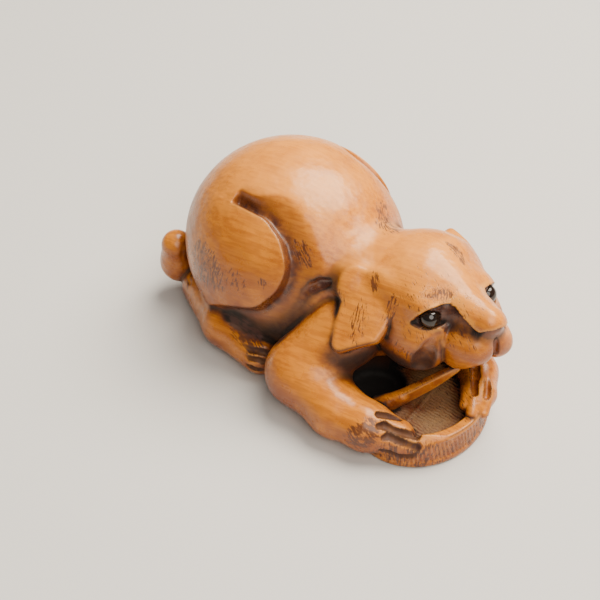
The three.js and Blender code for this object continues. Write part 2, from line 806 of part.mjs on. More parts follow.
function makePuppy() {
  const net = drawNet(new Grid(makeCarving(), NET));
  let solid = toSolid(toGeometry(new Thinning(net).run(CARVING_TRIANGLES)));
  const ground = new THREE.BoxGeometry(200, 200, 20).translate(0, 0, -10);
  solid = solid.subtract(toSolid(ground));
  for (const side of [-1, 1]) {
    const place = eyePlace(side);
    const socket = new THREE.SphereGeometry(EYE.radius + EYE.gap, 16, 10);
    solid = solid.subtract(toSolid(socket.translate(place.x, place.y, place.z)));
  }
  const boxwood = new THREE.MeshStandardMaterial({ color: '#c98a45', roughness: 0.35, metalness: 0 });
  const puppy = new THREE.Mesh(fromSolid(solid), boxwood);
  puppy.name = 'puppy_on_sandal';
  return puppy;
}

function makeEye(side, name) {
  const horn = new THREE.MeshStandardMaterial({ color: '#14100e', roughness: 0.08, metalness: 0 });
  const eye = new THREE.Mesh(new THREE.SphereGeometry(EYE.radius, 16, 10), horn);
  eye.position.copy(eyePlace(side));
  eye.name = name;
  return eye;
}

const group = new THREE.Group();
group.add(makePuppy(), makeEye(-1, 'eye_right'), makeEye(1, 'eye_left'));
group.position.copy(ORIGIN).negate();

export default group;
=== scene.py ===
"""A boxwood netsuke of a puppy resting on a straw sandal, carved, stained and set in a studio.

The carving is one mesh. It is worked out as a distance field in millimetres, negative inside the
wood, from rounded masses, crisp cuts and engraved details, and a net of vertices is drawn over
its surface. The inlaid eyes are turned beads. The finishes are procedural.
"""
import logging
import math
from collections.abc import Callable
from dataclasses import dataclass
from enum import Enum
from typing import Protocol

import bpy
import numpy as np
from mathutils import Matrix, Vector


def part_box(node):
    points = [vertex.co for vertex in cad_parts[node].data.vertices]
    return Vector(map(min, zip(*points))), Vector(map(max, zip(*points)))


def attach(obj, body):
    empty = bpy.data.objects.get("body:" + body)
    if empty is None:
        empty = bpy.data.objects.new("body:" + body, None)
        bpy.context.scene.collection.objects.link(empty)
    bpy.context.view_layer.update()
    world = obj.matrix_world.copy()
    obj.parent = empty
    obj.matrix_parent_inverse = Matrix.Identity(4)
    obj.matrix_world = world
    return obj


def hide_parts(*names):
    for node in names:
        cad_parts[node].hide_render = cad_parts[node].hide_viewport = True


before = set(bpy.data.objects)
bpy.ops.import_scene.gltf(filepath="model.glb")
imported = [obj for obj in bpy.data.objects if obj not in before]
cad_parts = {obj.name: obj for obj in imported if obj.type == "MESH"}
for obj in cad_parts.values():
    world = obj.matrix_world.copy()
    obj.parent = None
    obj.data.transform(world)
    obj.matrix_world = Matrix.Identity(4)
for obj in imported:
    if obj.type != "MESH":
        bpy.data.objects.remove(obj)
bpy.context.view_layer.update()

LOG = logging.getLogger("netsuke")
MM = 0.001
FAR = 9.0

Points = np.ndarray
Values = np.ndarray
Place = tuple[float, float, float]
Line = tuple[tuple[float, float], ...]
Socket = bpy.types.NodeSocket


# --- distance fields

def smooth_min(a: Values, b: Values, width: float) -> Values:
    """Distances to two bodies joined, their meeting rounded over a width in millimetres."""
    near = np.maximum(width - np.abs(a - b), 0.0) / width
    return np.minimum(a, b) - near * near * (width * 0.25)


def smooth_max(a: Values, b: Values, width: float) -> Values:
    """Distances to what two bodies share, its edge rounded over a width in millimetres."""
    return -smooth_min(-a, -b, width)


def carve(wood: Values, tool: Values, width: float) -> Values:
    """Distances to the wood without a tool's shape, the edge of the cut rounded over a width."""
    return smooth_max(wood, -tool, width)


class Form(Protocol):
    """Anything that is known by how far points lie from it."""

    def distance(self, p: Points) -> Values:
        """Distances in millimetres, negative inside."""


def join(wood: Values, p: Points, *parts: tuple[Form, float]) -> Values:
    """Join forms to the wood, one after another.

    Args:
        wood: Distances to the wood.
        p: The points measured.
        parts: Each form with the width of its rounding.

    Returns:
        Distances to the joined wood.
    """
    for form, width in parts:
        wood = smooth_min(wood, form.distance(p), width)
    return wood


def cut(wood: Values, p: Points, width: float, tools: tuple[Form, ...]) -> Values:
    """Cut grooves into the wood, one after another.

    Args:
        wood: Distances to the wood.
        p: The points measured.
        width: How rounded the edges of the cuts are.
        tools: The grooves.

    Returns:
        Distances to what is left.
    """
    for tool in tools:
        wood = carve(wood, tool.distance(p), width)
    return wood


def ramp(value: Values, low: float, high: float) -> Values:
    """Shares that rise smoothly from 0 at low to 1 at high."""
    share = np.clip((value - low) / (high - low), 0.0, 1.0)
    return share * share * (3.0 - 2.0 * share)


def heights(x: Values, line: Line) -> Values:
    """Heights of a line of corners at each x."""
    return np.interp(x, *np.transpose(line))


def turn_matrix(yaw: float, pitch: float = 0.0) -> np.ndarray:
    """A turn about Z, then Y.

    Args:
        yaw: Degrees about Z.
        pitch: Degrees about Y, positive with the front going down.

    Returns:
        The 3 by 3 matrix from the turned frame to the outer one.
    """
    y, p = np.radians([yaw, pitch])
    about_z = np.array([[np.cos(y), -np.sin(y), 0], [np.sin(y), np.cos(y), 0], [0, 0, 1]])
    about_y = np.array([[np.cos(p), 0, np.sin(p)], [0, 1, 0], [-np.sin(p), 0, np.cos(p)]])
    return about_z @ about_y


def polygon(x: Values, y: Values, corners: Line) -> Values:
    """Distances to a flat polygon.

    Args:
        x: First coordinates in its plane.
        y: Second coordinates in its plane.
        corners: Its corners in order.

    Returns:
        Distances to its outline, negative inside.
    """
    reach = np.full(len(x), np.inf)
    inside = np.zeros(len(x), bool)
    for (ax, ay), (bx, by) in zip(corners, corners[1:] + corners[:1]):
        dx, dy = bx - ax, by - ay
        share = np.clip(((x - ax) * dx + (y - ay) * dy) / (dx * dx + dy * dy), 0.0, 1.0)
        reach = np.minimum(reach, np.hypot(x - ax - share * dx, y - ay - share * dy))
        beside = (ay > y) != (by > y)
        inside ^= beside & (x < dx * (y - ay) / (dy if dy else 1.0) + ax)
    return np.where(inside, -reach, reach)


def mirrored(q: Points) -> Points:
    """The points with their Y made positive, for forms that come in pairs."""
    return np.column_stack([q[:, 0], np.abs(q[:, 1]), q[:, 2]])


@dataclass(frozen=True)
class Ellipsoid:
    """A rounded mass."""

    centre: Place
    radii: Place
    yaw: float = 0.0

    def distance(self, p: Points) -> Values:
        """Distances from points to the surface.

        Args:
            p: Points in millimetres.

        Returns:
            Distances, negative inside.
        """
        q = p - np.asarray(self.centre)
        if self.yaw:
            q = q @ turn_matrix(self.yaw)
        scaled = q / np.asarray(self.radii)
        reach = np.sqrt(np.einsum("ij,ij->i", scaled, scaled))
        scaled /= np.asarray(self.radii)
        slope = np.sqrt(np.einsum("ij,ij->i", scaled, scaled))
        return reach * (reach - 1.0) / np.maximum(slope, 1e-6)


@dataclass(frozen=True)
class Limb:
    """Capsules end to end, each with a radius at both ends: a leg, a groove or a cord."""

    points: tuple[Place, ...]
    radii: tuple[float, ...]
    blend: float = 0.2
    margin: float = 3.0

    def distance(self, p: Points) -> Values:
        """Distances from points to the surface, capped far away from it.

        Args:
            p: Points in millimetres.

        Returns:
            Distances, negative inside.
        """
        spine = np.asarray(self.points)
        reach = max(self.radii) + self.margin
        near = ((p > spine.min(0) - reach) & (p < spine.max(0) + reach)).all(1)
        result = np.full(len(p), FAR)
        q = p[near]
        total = None
        for i in range(len(spine) - 1):
            along = spine[i + 1] - spine[i]
            offset = q - spine[i]
            share = np.clip(offset @ along / (along @ along), 0.0, 1.0)
            offset -= share[:, None] * along
            length = np.sqrt(np.einsum("ij,ij->i", offset, offset))
            span = length - (self.radii[i] + (self.radii[i + 1] - self.radii[i]) * share)
            total = span if total is None else smooth_min(total, span, self.blend)
        result[near] = total
        return result


# --- the puppy's body

@dataclass(frozen=True)
class Trunk:
    """The round back, the chest and the nape."""

    back: Ellipsoid = Ellipsoid((-4.7, 4.9, 12.9), (15.4, 14.7, 14.5))
    chest: Ellipsoid = Ellipsoid((7.6, 4.4, 8.4), (10.3, 9.0, 9.4))
    nape: Ellipsoid = Ellipsoid((7.6, 3.2, 15.8), (6.2, 5.2, 5.0))
    neck_fold: Ellipsoid = Ellipsoid((9.0, -0.9, 16.7), (3.2, 2.6, 2.6))
    blend: float = 3.0
    fold_blend: float = 1.2

    def distance(self, p: Points) -> Values:
        """Distances to the trunk, negative inside."""
        masses = ((self.chest, self.blend), (self.nape, self.blend), (self.neck_fold, self.fold_blend))
        return join(self.back.distance(p), p, *masses)


@dataclass(frozen=True)
class Thigh:
    """A folded thigh, set off by a cut that is deepest along its edge and fades into the flank."""

    corners: Line = (
        (-24.0, 10.1), (-3.4, 10.0), (-2.1, 9.3), (-1.6, 8.6), (-1.8, 7.8), (-2.8, 6.5), (-4.2, 6.0),
        (-9.8, 4.2), (-24.0, -0.1),
    )
    rounding: float = 4.2
    flank: tuple[float, float] = (0.692, 0.722)
    depth: float = 1.35
    lower: float = 0.0
    parting: float = 8.0
    upper_start: tuple[float, float] = (-8.3, -7.5)
    lower_start: tuple[float, float] = (-12.0, -4.0)
    narrow: float = 2.4
    widening: float = 2.6
    spread: tuple[float, float] = (-6.0, 0.0)

    def flat(self, p: Points) -> Values:
        """How high points lie, seen square to the flank."""
        return self.flank[0] * p[:, 1] + self.flank[1] * (p[:, 2] + self.lower)

    def outline(self, p: Points) -> Values:
        """Distances to the thigh's outline, seen square to the flank, negative on the thigh."""
        return polygon(p[:, 0], self.flat(p), self.corners) - self.rounding

    def strength(self, p: Points) -> Values:
        """How strong the cut is, from 0 to 1: it starts bluntly above the thigh and fades out below."""
        start, end = ramp(p[:, 0], *self.upper_start), ramp(p[:, 0], *self.lower_start)
        return np.where(self.flat(p) > self.parting, start, end)

    def carve(self, wood: Values, p: Points) -> Values:
        """Cut the flank back beside the thigh.

        Args:
            wood: Distances to the uncut body.
            p: Points in millimetres.

        Returns:
            Distances to the body with its thigh.
        """
        outline = self.outline(p)
        width = self.narrow + self.widening * ramp(p[:, 0], *self.spread)
        depth = self.depth * self.strength(p) * (1.0 - ramp(outline / width, 0.05, 1.0))
        return smooth_max(wood, smooth_min(outline, wood + depth, 0.3), 0.15)


@dataclass(frozen=True)
class Body:
    """Trunk, thighs, hind legs and tail."""

    middle: float = 4.8
    trunk: Trunk = Trunk()
    near_thigh: Thigh = Thigh()
    far_thigh: Thigh = Thigh(depth=0.9, lower=3.2)
    hind_leg: Limb = Limb(
        ((-16.0, -1.5, 3.2), (-8.0, -5.6, 3.6), (-1.0, -7.4, 2.8)), (3.4, 3.8, 2.8), 1.0,
    )
    hind_toes: tuple[Limb, ...] = (
        Limb(
            ((-3.0, -9.3, 5.3), (-1.3, -9.4, 4.9), (0.2, -8.8, 5.0), (1.4, -8.0, 4.6)),
            (0.25, 0.42, 0.45, 0.5),
        ),
        Limb(
            ((-2.1, -10.2, 4.1), (-0.9, -10.0, 4.0), (0.3, -9.6, 4.1), (1.5, -8.9, 3.6)),
            (0.2, 0.35, 0.35, 0.45),
        ),
        Limb(((-1.6, -10.4, 2.7), (-0.4, -10.1, 2.6), (1.2, -9.5, 2.3)), (0.2, 0.35, 0.4)),
    )
    tail: Limb = Limb(
        ((-18.3, 2.0, 4.5), (-20.5, -1.6, 5.4), (-20.3, -2.4, 9.0)), (2.7, 2.6, 2.2), 1.5,
    )
    tail_notch: Limb = Limb(((-18.2, -3.2, 10.5), (-18.0, -3.9, 7.5), (-16.6, -4.6, 5.6)), (0.3, 0.45, 0.6))
    armpit: Limb = Limb(
        (
            (3.4, -8.9, 9.0), (4.2, -7.3, 12.4), (5.3, -5.7, 16.1), (5.9, -5.0, 16.8), (6.6, -4.1, 17.3),
            (8.0, -2.9, 17.7),
        ),
        (0.35, 0.5, 0.75, 0.85, 0.75, 0.35), 0.4,
    )

    def far_side(self, p: Points) -> Points:
        """The points reflected in the body's middle plane."""
        return p * (1.0, -1.0, 1.0) + (0.0, 2.0 * self.middle, 0.0)

    def distance(self, p: Points) -> Values:
        """Distances to the body without its forelegs.

        Args:
            p: Points in millimetres.

        Returns:
            Distances, negative inside.
        """
        far = self.far_side(p)
        wood = self.trunk.distance(p)
        near = p[:, 1] < self.middle
        wood = np.where(near, self.near_thigh.carve(wood, p), self.far_thigh.carve(wood, far))
        wood = smooth_min(wood, self.hind_leg.distance(p), 0.6)
        wood = smooth_min(wood, self.hind_leg.distance(far), 0.6)
        for toe in self.hind_toes:
            wood = carve(wood, np.minimum(toe.distance(p), toe.distance(far)), 0.2)
        wood = smooth_min(wood, self.tail.distance(p), 0.5)
        return carve(wood, self.tail_notch.distance(p), 0.2)


@dataclass(frozen=True)
class Forelegs:
    """The near arm with its toes and the far arm with its paw on the sandal's rim."""

    near_arm: Limb = Limb(
        (
            (10.0, -3.0, 10.5), (7.0, -8.4, 5.2), (14.0, -10.2, 3.8), (18.8, -10.1, 3.7),
            (22.8, -8.9, 3.4),
        ),
        (5.2, 4.7, 3.6, 3.1, 2.3), 1.5,
    )
    far_arm: Limb = Limb(
        ((9.5, 10.0, 9.0), (12.5, 12.8, 4.8), (20.0, 10.6, 4.2), (25.6, 5.6, 4.9)),
        (5.0, 4.2, 3.4, 2.6), 1.5,
    )
    far_paw: Limb = Limb(
        ((25.4, 6.2, 4.8), (27.6, 2.6, 5.0), (28.4, 0.6, 4.6)), (2.6, 2.3, 1.5), 0.6,
    )
    far_toes: tuple[Limb, ...] = (
        Limb(((26.6, 1.6, 5.8), (27.4, -0.4, 5.2)), (0.9, 0.75)),
        Limb(((27.8, 0.8, 5.6), (28.8, -0.9, 4.9)), (0.95, 0.8)),
        Limb(((28.9, 2.6, 5.6), (29.7, 0.6, 4.4)), (0.9, 0.75)),
    )
    toe_grooves: tuple[Limb, ...] = (
        Limb(((20.4, -9.9, 6.7), (22.2, -7.9, 5.7)), (0.45, 0.55)),
        Limb(
            (
                (21.3, -11.0, 6.1), (21.8, -10.4, 6.0), (23.1, -9.95, 5.5), (24.2, -9.3, 5.2),
                (25.3, -8.4, 4.8),
            ),
            (0.4, 0.55, 0.45, 0.5, 0.6),
        ),
        Limb(
            (
                (22.4, -11.4, 4.9), (22.8, -10.9, 5.1), (23.8, -10.5, 4.7), (25.4, -9.7, 4.0),
                (26.0, -9.3, 3.7),
            ),
            (0.4, 0.55, 0.42, 0.5, 0.6),
        ),
        Limb(
            (
                (22.3, -11.7, 2.8), (23.2, -11.2, 2.5), (24.4, -10.6, 2.0), (25.7, -9.9, 2.1),
                (26.3, -9.5, 2.7),
            ),
            (0.3, 0.48, 0.4, 0.46, 0.4),
        ),
    )
    far_grooves: tuple[Limb, ...] = (
        Limb(((27.9, 4.2, 7.5), (28.6, 3.0, 7.2), (29.3, 1.8, 6.3)), (0.3, 0.45, 0.5)),
        Limb(((25.6, 4.4, 7.2), (26.6, 3.0, 7.2), (27.9, 1.0, 6.6)), (0.6, 0.6, 0.4)),
    )

    def add_far(self, wood: Values, p: Points) -> Values:
        """Distances to the wood with the far foreleg joined to it."""
        toes = ((toe, 0.2) for toe in self.far_toes)
        return cut(join(wood, p, (self.far_arm, 0.8), (self.far_paw, 0.3), *toes), p, 0.25, self.far_grooves)

    def add_near(self, wood: Values, p: Points) -> Values:
        """Distances to the wood with the near foreleg joined to it and its toes cut."""
        return cut(smooth_min(wood, self.near_arm.distance(p), 0.5), p, 0.2, self.toe_grooves)


# --- the straw sandal

@dataclass(frozen=True)
class Thong:
    """The thong of the sandal: a flat strap that rises under the chin from a spread foot."""

    start: Place = (19.0, -5.3, 4.3)
    end: Place = (25.3, 1.1, 9.9)
    sag: float = -0.25
    height: float = 1.9
    width: float = 1.3
    taper: float = 0.45
    foot: Limb = Limb(((17.4, -5.7, 3.7), (18.6, -5.4, 4.1), (20.2, -4.4, 5.3)), (0.9, 1.1, 0.8), 0.5)

    def distance(self, p: Points) -> Values:
        """Distances to the thong.

        Args:
            p: Points in millimetres.

        Returns:
            Distances, negative inside, and capped far away.
        """
        start, end = np.asarray(self.start), np.asarray(self.end)
        along = end - start
        side = np.cross(along, (0.0, 0.0, 1.0))
        side /= np.linalg.norm(side)
        up = np.cross(side, along / np.linalg.norm(along))
        near = ((p > np.minimum(start, end) - 4.0) & (p < np.maximum(start, end) + 4.0)).all(1)
        result = np.full(len(p), FAR)
        q = p[near] - start
        share = q @ along / (along @ along)
        inside = np.clip(share, 0.0, 1.0)
        size = 1.0 - self.taper * inside ** 3
        across = np.abs(q @ side) - self.width / 2 * size
        rise = np.abs(q @ up - 4.0 * self.sag * inside * (1.0 - inside)) - self.height / 2 * size
        ends = np.abs(share - 0.5) * np.linalg.norm(along) - 0.5 * np.linalg.norm(along)
        strap = smooth_max(smooth_max(across, rise, 0.35), ends, 0.4)
        result[near] = smooth_min(strap, self.foot.distance(p[near]), 0.5)
        return result


@dataclass(frozen=True)
class Sandal:
    """An oval straw sandal with a sunk tread, a bevelled rim and a thong."""

    centre: Place = (21.2, -1.0, 2.4)
    yaw: float = 4.0
    half_length: float = 10.2
    half_width: float = 8.6
    half_height: float = 2.4
    tread_height: float = 0.9
    tread_share: float = 0.83
    bevel_place: Place = (25.53, -8.32, 4.8)
    bevel_normal: Place = (0.447, -0.64, 0.63)
    stretch: float = 1.1
    stitches: float = 92.0
    stitch_depth: float = 0.14
    stitched_from: tuple[float, float] = (-1.6, -1.2)
    stitched_to: tuple[float, float] = (1.5, 1.9)
    straws: float = 13.0
    straw_relief: float = 0.05
    ridge: tuple[float, float, float] = (0.6, 0.22, 0.12)
    thong: Thong = Thong()

    def local(self, p: Points) -> Points:
        """The points in the sandal's own frame."""
        return (p - np.asarray(self.centre)) @ turn_matrix(self.yaw)

    def ring(self, q: Points) -> Values:
        """How far out points in the sandal's frame lie, as shares of its outline's radius."""
        return np.hypot(q[:, 0] / self.half_width, q[:, 1] / self.half_length)

    def distance(self, p: Points) -> Values:
        """Distances to the sandal without its thong.

        Args:
            p: Points in millimetres.

        Returns:
            Distances, negative inside.
        """
        q = self.local(p)
        ring = self.ring(q)
        scale = self.half_width * self.stretch
        turn = np.arctan2(q[:, 1], q[:, 0])
        strokes = 0.5 + 0.5 * np.sin(turn * self.stitches + 2.4 * q[:, 2] + 0.8 * np.sin(turn * 17.0))
        band = ramp(q[:, 2], *self.stitched_from) * (1.0 - ramp(q[:, 2], *self.stitched_to))
        wall = (ring - 1.0) * scale + self.stitch_depth * (0.6 + strokes) * band
        bevel = (p - np.asarray(self.bevel_place)) @ np.asarray(self.bevel_normal)
        slab = smooth_max(wall, np.abs(q[:, 2]) - self.half_height, 0.5)
        slab = smooth_max(slab, bevel, 0.3)
        slant = q[:, 1] * self.straws + 2.0 * np.abs(q[:, 0]) + 0.8 * np.sin(q[:, 0] * 5.0)
        place, width, height = self.ridge
        ridge = height * np.exp(-((q[:, 0] - place) / width) ** 2)
        tread = self.tread_height + self.straw_relief * np.sin(slant) + ridge
        hollow = smooth_max((ring - self.tread_share) * scale, tread - q[:, 2], 0.4)
        return carve(slab, hollow, 0.3)


# --- the puppy's head

@dataclass(frozen=True)
class Ear:
    """A hanging ear: a thin cupped leaf with a raised rim. Places are in the head's frame."""

    root: Place
    tip: Place
    face: Place
    corners: Line = (
        (0.6, -1.4), (0.4, 0.8), (1.7, 2.2), (3.7, 2.9), (6.0, 2.5), (7.2, 2.0), (9.2, -1.9),
        (6.6, -2.1), (2.6, -1.75),
    )
    rounding: float = 1.25
    half_thickness: float = 0.85
    cupping: float = 0.03
    rim: float = 0.08

    def local(self, q: Points) -> tuple[Values, Values, Values]:
        """Coordinates on the ear.

        Args:
            q: Points in the head's frame.

        Returns:
            How far down, across and out of the ear each point lies.
        """
        down = np.asarray(self.tip) - np.asarray(self.root)
        down = down / np.linalg.norm(down)
        out = np.asarray(self.face) - down * (np.asarray(self.face) @ down)
        out = out / np.linalg.norm(out)
        offset = q - np.asarray(self.root)
        across = offset @ np.cross(out, down)
        return offset @ down, across, offset @ out + self.cupping * across * across

    def distance(self, q: Points) -> Values:
        """Distances to the ear.

        Args:
            q: Points in the head's frame.

        Returns:
            Distances, negative inside, and capped far away.
        """
        result = np.full(len(q), FAR)
        near = np.linalg.norm(q - (np.asarray(self.root) + np.asarray(self.tip)) / 2, axis=1) < 9.5
        along, across, height = self.local(q[near])
        outline = polygon(along, across, self.corners) - self.rounding
        rim = self.rim * (ramp(outline, -1.3, -0.5) - 0.5)
        result[near] = smooth_max(outline, np.abs(height) - self.half_thickness - rim, 0.6)
        return result


@dataclass(frozen=True)
class BrowEdge:
    """The crisp edge under which sockets, muzzle and nose are cut back, seen from the side."""

    edge: Line = (
        (4.2, -9.0), (4.6, 0.7), (4.99, 1.46), (5.71, 2.67), (6.44, 3.55), (6.87, 3.95), (7.3, 4.15),
        (7.82, 4.15), (8.95, 3.75), (10.4, 2.95), (11.62, 2.05), (12.33, 1.75), (13.0, 2.15), (15.0, 2.6),
    )
    lid: Line = (
        (4.2, 2.0), (4.9, 1.6), (5.61, 1.35), (6.42, 1.1), (7.16, 1.0), (7.73, 1.2), (8.1, 0.8),
        (8.5, -1.0), (9.0, -3.0), (15.0, -4.0),
    )
    depth: Line = (
        (4.5, 0.0), (5.2, 0.6), (6.2, 0.85), (7.8, 1.0), (9.0, 1.1), (11.0, 0.9), (12.3, 0.5), (15.0, 0.4),
    )
    crispness: float = 0.12
    lid_slope: float = 0.7

    def depth_at(self, x: Values, z: Values) -> Values:
        """How deep the cut is at places seen from the side, 0 outside it."""
        return heights(x, self.depth) * ((z < heights(x, self.edge)) & (z > heights(x, self.lid)))

    def carve(self, skin: Values, x: Values, z: Values) -> Values:
        """Cut the face back under the edge and above the lower lid.

        Args:
            skin: Distances to the uncut head.
            x: How far forward each point lies in the head's frame.
            z: How high it lies.

        Returns:
            Distances to the cut head.
        """
        slope = (heights(x + 0.1, self.edge) - heights(x - 0.1, self.edge)) / 0.2
        below = (heights(x, self.edge) - z) / np.sqrt(1.0 + slope * slope)
        above = (z - heights(x, self.lid)) * self.lid_slope
        tool = smooth_min(smooth_min(below, above, 0.3), skin + heights(x, self.depth), 0.25)
        return smooth_max(skin, tool, self.crispness)


@dataclass(frozen=True)
class Head:
    """The head in its own frame: X along the muzzle, Y to the animal's left, Z up."""

    centre: Place = (16.8, 5.2, 15.1)
    yaw: float = -15.0
    pitch: float = -5.0
    lean: float = 0.24
    cranium: Ellipsoid = Ellipsoid((0.0, 0.0, 0.2), (8.9, 8.5, 7.8))
    cheek: Ellipsoid = Ellipsoid((1.6, 4.1, -2.4), (6.9, 4.6, 5.6), yaw=8)
    throat: Ellipsoid = Ellipsoid((-1.0, 0.0, -5.0), (6.0, 6.5, 4.5))
    brow: Ellipsoid = Ellipsoid((5.5, 4.1, 3.1), (2.2, 2.1, 1.5))
    bridge: Limb = Limb(
        ((5.5, 0.0, 1.6), (8.8, 0.0, 1.6), (11.5, 0.3, 1.9)), (4.3, 3.2, 2.45), 1.0, 30.0,
    )
    lip: Ellipsoid = Ellipsoid((10.4, 2.0, -1.5), (3.3, 2.35, 2.8))
    flew: Ellipsoid = Ellipsoid((9.0, 2.8, -2.6), (2.7, 1.9, 2.9))
    lip_front: Ellipsoid = Ellipsoid((11.8, 1.1, -1.2), (1.9, 1.5, 2.6))
    crease: Limb = Limb(
        ((8.7, -4.5, 0.9), (8.6, -5.0, 0.3), (8.4, -6.4, -0.9), (8.0, -7.2, -3.2), (7.4, -7.1, -5.5)),
        (0.3, 0.7, 1.15, 1.6, 1.8), 0.4,
    )
    chin: Ellipsoid = Ellipsoid((6.4, 0.0, -4.6), (4.7, 2.6, 1.9))
    lips_aside: Place = (-0.5, 0.35, -0.15)
    philtrum: Limb = Limb(((13.2, 0.0, 2.0), (13.5, 0.0, 0.2), (13.2, 0.0, -2.2)), (0.35, 0.3, 0.5))
    brow_edge: BrowEdge = BrowEdge()
    near_ear_root: Place = (12.2, -0.8, 19.4)
    near_ear_tip: Place = (14.6, -8.0, 11.8)
    near_ear_face: Place = (0.11, -0.757, 0.643)
    far_ear_root: Place = (-1.3, 6.6, 4.2)
    far_ear_tip: Place = (-3.1, 9.4, -4.6)
    far_ear_face: Place = (0.15, 1.0, 0.45)
    eye: Place = (6.3, 4.8, 2.0)
    eye_radius: float = 1.35

    def turn(self) -> np.ndarray:
        """The matrix from the head's frame to the carver's."""
        return turn_matrix(self.yaw, self.pitch)

    def local(self, p: Points) -> Points:
        """The points in the head's frame."""
        return (p - np.asarray(self.centre)) @ self.turn()

    def level(self, q: Points) -> Points:
        """The points as they lie before the front of the head leans to the animal's left."""
        sunk = self.lean * np.maximum(q[:, 1], 0.0) * ramp(q[:, 0], 0.0, 5.0)
        return q + sunk[:, None] * (0.0, 0.0, 1.0)

    def near_ear(self) -> Ear:
        """The ear on the animal's right, which hangs over its shoulder."""
        root, tip = self.local(np.array([self.near_ear_root, self.near_ear_tip]))
        return Ear(tuple(root), tuple(tip), tuple(np.asarray(self.near_ear_face) @ self.turn()))

    def far_ear(self) -> Ear:
        """The ear on the animal's left, its leaf reflected."""
        leaf = tuple((a, -b) for a, b in Ear.corners)
        return Ear(self.far_ear_root, self.far_ear_tip, self.far_ear_face, leaf)

    def eye_place(self, side: int) -> np.ndarray:
        """Where an eye sits.

        Args:
            side: -1 for the animal's right eye, 1 for its left.

        Returns:
            The centre of the bead in the carver's frame, in millimetres.
        """
        local = np.array([self.eye[0], side * self.eye[1], self.eye[2]])
        local[2] -= self.level(local[None])[0, 2] - local[2]
        return self.turn() @ local + np.asarray(self.centre)

    def skin(self, q: Points) -> Values:
        """Distances to the uncut head: cranium, cheeks, brows and the bridge of the nose.

        Args:
            q: Points in the head's frame.

        Returns:
            Distances, negative inside.
        """
        half = mirrored(q)
        upper = smooth_max(self.cranium.distance(q), -3.0 - q[:, 2], 2.0)
        head = smooth_min(upper, self.cheek.distance(half), 1.0)
        head = smooth_min(head, self.throat.distance(q), 1.5)
        ridge = smooth_min(self.bridge.distance(q), self.brow.distance(half), 1.0)
        return smooth_min(head, ridge, 2.0)

    def lips(self, q: Points) -> Values:
        """Distances to the lips, from points in the head's frame."""
        lips = join(self.lip.distance(mirrored(q)), mirrored(q), (self.flew, 1.5), (self.lip_front, 0.9))
        return carve(lips, self.philtrum.distance(q), 0.4)

    def fold(self, q: Points) -> Values:
        """Distances to the folds between cheeks and lips, from points in the head's frame."""
        return self.crease.distance(mirrored(q) * (1.0, -1.0, 1.0))

    def distance(self, p: Points) -> Values:
        """Distances to the head with both ears.

        Args:
            p: Points in millimetres.

        Returns:
            Distances, negative inside.
        """
        near = p[:, 0] > -2.0
        result = np.full(len(p), FAR)
        upright = self.local(p[near])
        q = self.level(upright)
        head = self.brow_edge.carve(self.skin(q), q[:, 0], q[:, 2])
        head = carve(head, self.fold(q), 0.3)
        softness = 0.4 + 0.9 * ramp(q[:, 2], -2.0, 0.0)
        head = smooth_min(head, self.lips(q - np.asarray(self.lips_aside)), softness)
        head = smooth_min(head, self.chin.distance(q), 0.3)
        head = smooth_min(head, self.far_ear().distance(upright), 0.4)
        ear = self.near_ear()
        down = ear.local(upright)[0]
        result[near] = smooth_min(head, ear.distance(upright), 0.3 + 1.5 * (1.0 - ramp(down, 0.5, 3.5)))
        return result

    def neck_width(self, p: Points) -> Values:
        """How softly the head joins the body: more at the nape than at the throat."""
        q = self.local(p)
        return 0.4 + 2.8 * ramp(-q[:, 0], 0.0, 5.0) * ramp(q[:, 2], 0.0, 3.0)


# --- the hollow

@dataclass(frozen=True)
class Hollow:
    """The deep hollow under the chin, between the near arm and the sandal."""

    centre: Place = (15.0, -2.5, 0.0)
    half_length: float = 3.9
    half_width: float = 3.6
    floor: float = 1.3
    roof: float = 7.5
    block: Ellipsoid = Ellipsoid((11.6, -3.9, 0.0), (5.4, 6.2, 3.4))

    def distance(self, p: Points) -> Values:
        """Distances to the hollow.

        Args:
            p: Points in millimetres.

        Returns:
            Distances, negative inside.
        """
        q = p - np.asarray(self.centre)
        ring = np.hypot(q[:, 0] / self.half_length, q[:, 1] / self.half_width)
        column = smooth_max((ring - 1.0) * self.half_width, q[:, 2] - self.roof, 1.0)
        return smooth_max(column, self.floor - q[:, 2], 0.8)


# --- the graver's strokes

@dataclass(frozen=True)
class Strokes:
    """A patch of fine graver's strokes, all running one way."""

    centre: Place
    along: Place
    half_length: float
    half_width: float
    strength: float
    bend: float = 0.0

    def lay(self, p: Points, normals: Points) -> tuple[Values, Values, Values]:
        """Lay the strokes over the surface.

        Args:
            p: Points in millimetres.
            normals: The surface's directions there.

        Returns:
            How far across the strokes and along them each point lies, and how strong they are there.
        """
        offset = p - np.asarray(self.centre)
        nearest = int(np.argmin((offset ** 2).sum(1)))
        out = normals[nearest]
        along = np.asarray(self.along) - out * (np.asarray(self.along) @ out)
        along = along / np.linalg.norm(along)
        length, across = offset @ along, offset @ np.cross(out, along)
        across = across + self.bend * length * length
        away = np.sqrt((length / self.half_length) ** 2 + (across / self.half_width) ** 2)
        close = np.linalg.norm(offset, axis=1) < 2.0 * self.half_length + 4.0
        facing = ramp(normals @ out, 0.2, 0.6) * close
        return across, length, self.strength * (1.0 - ramp(away, 0.45, 1.15)) * facing


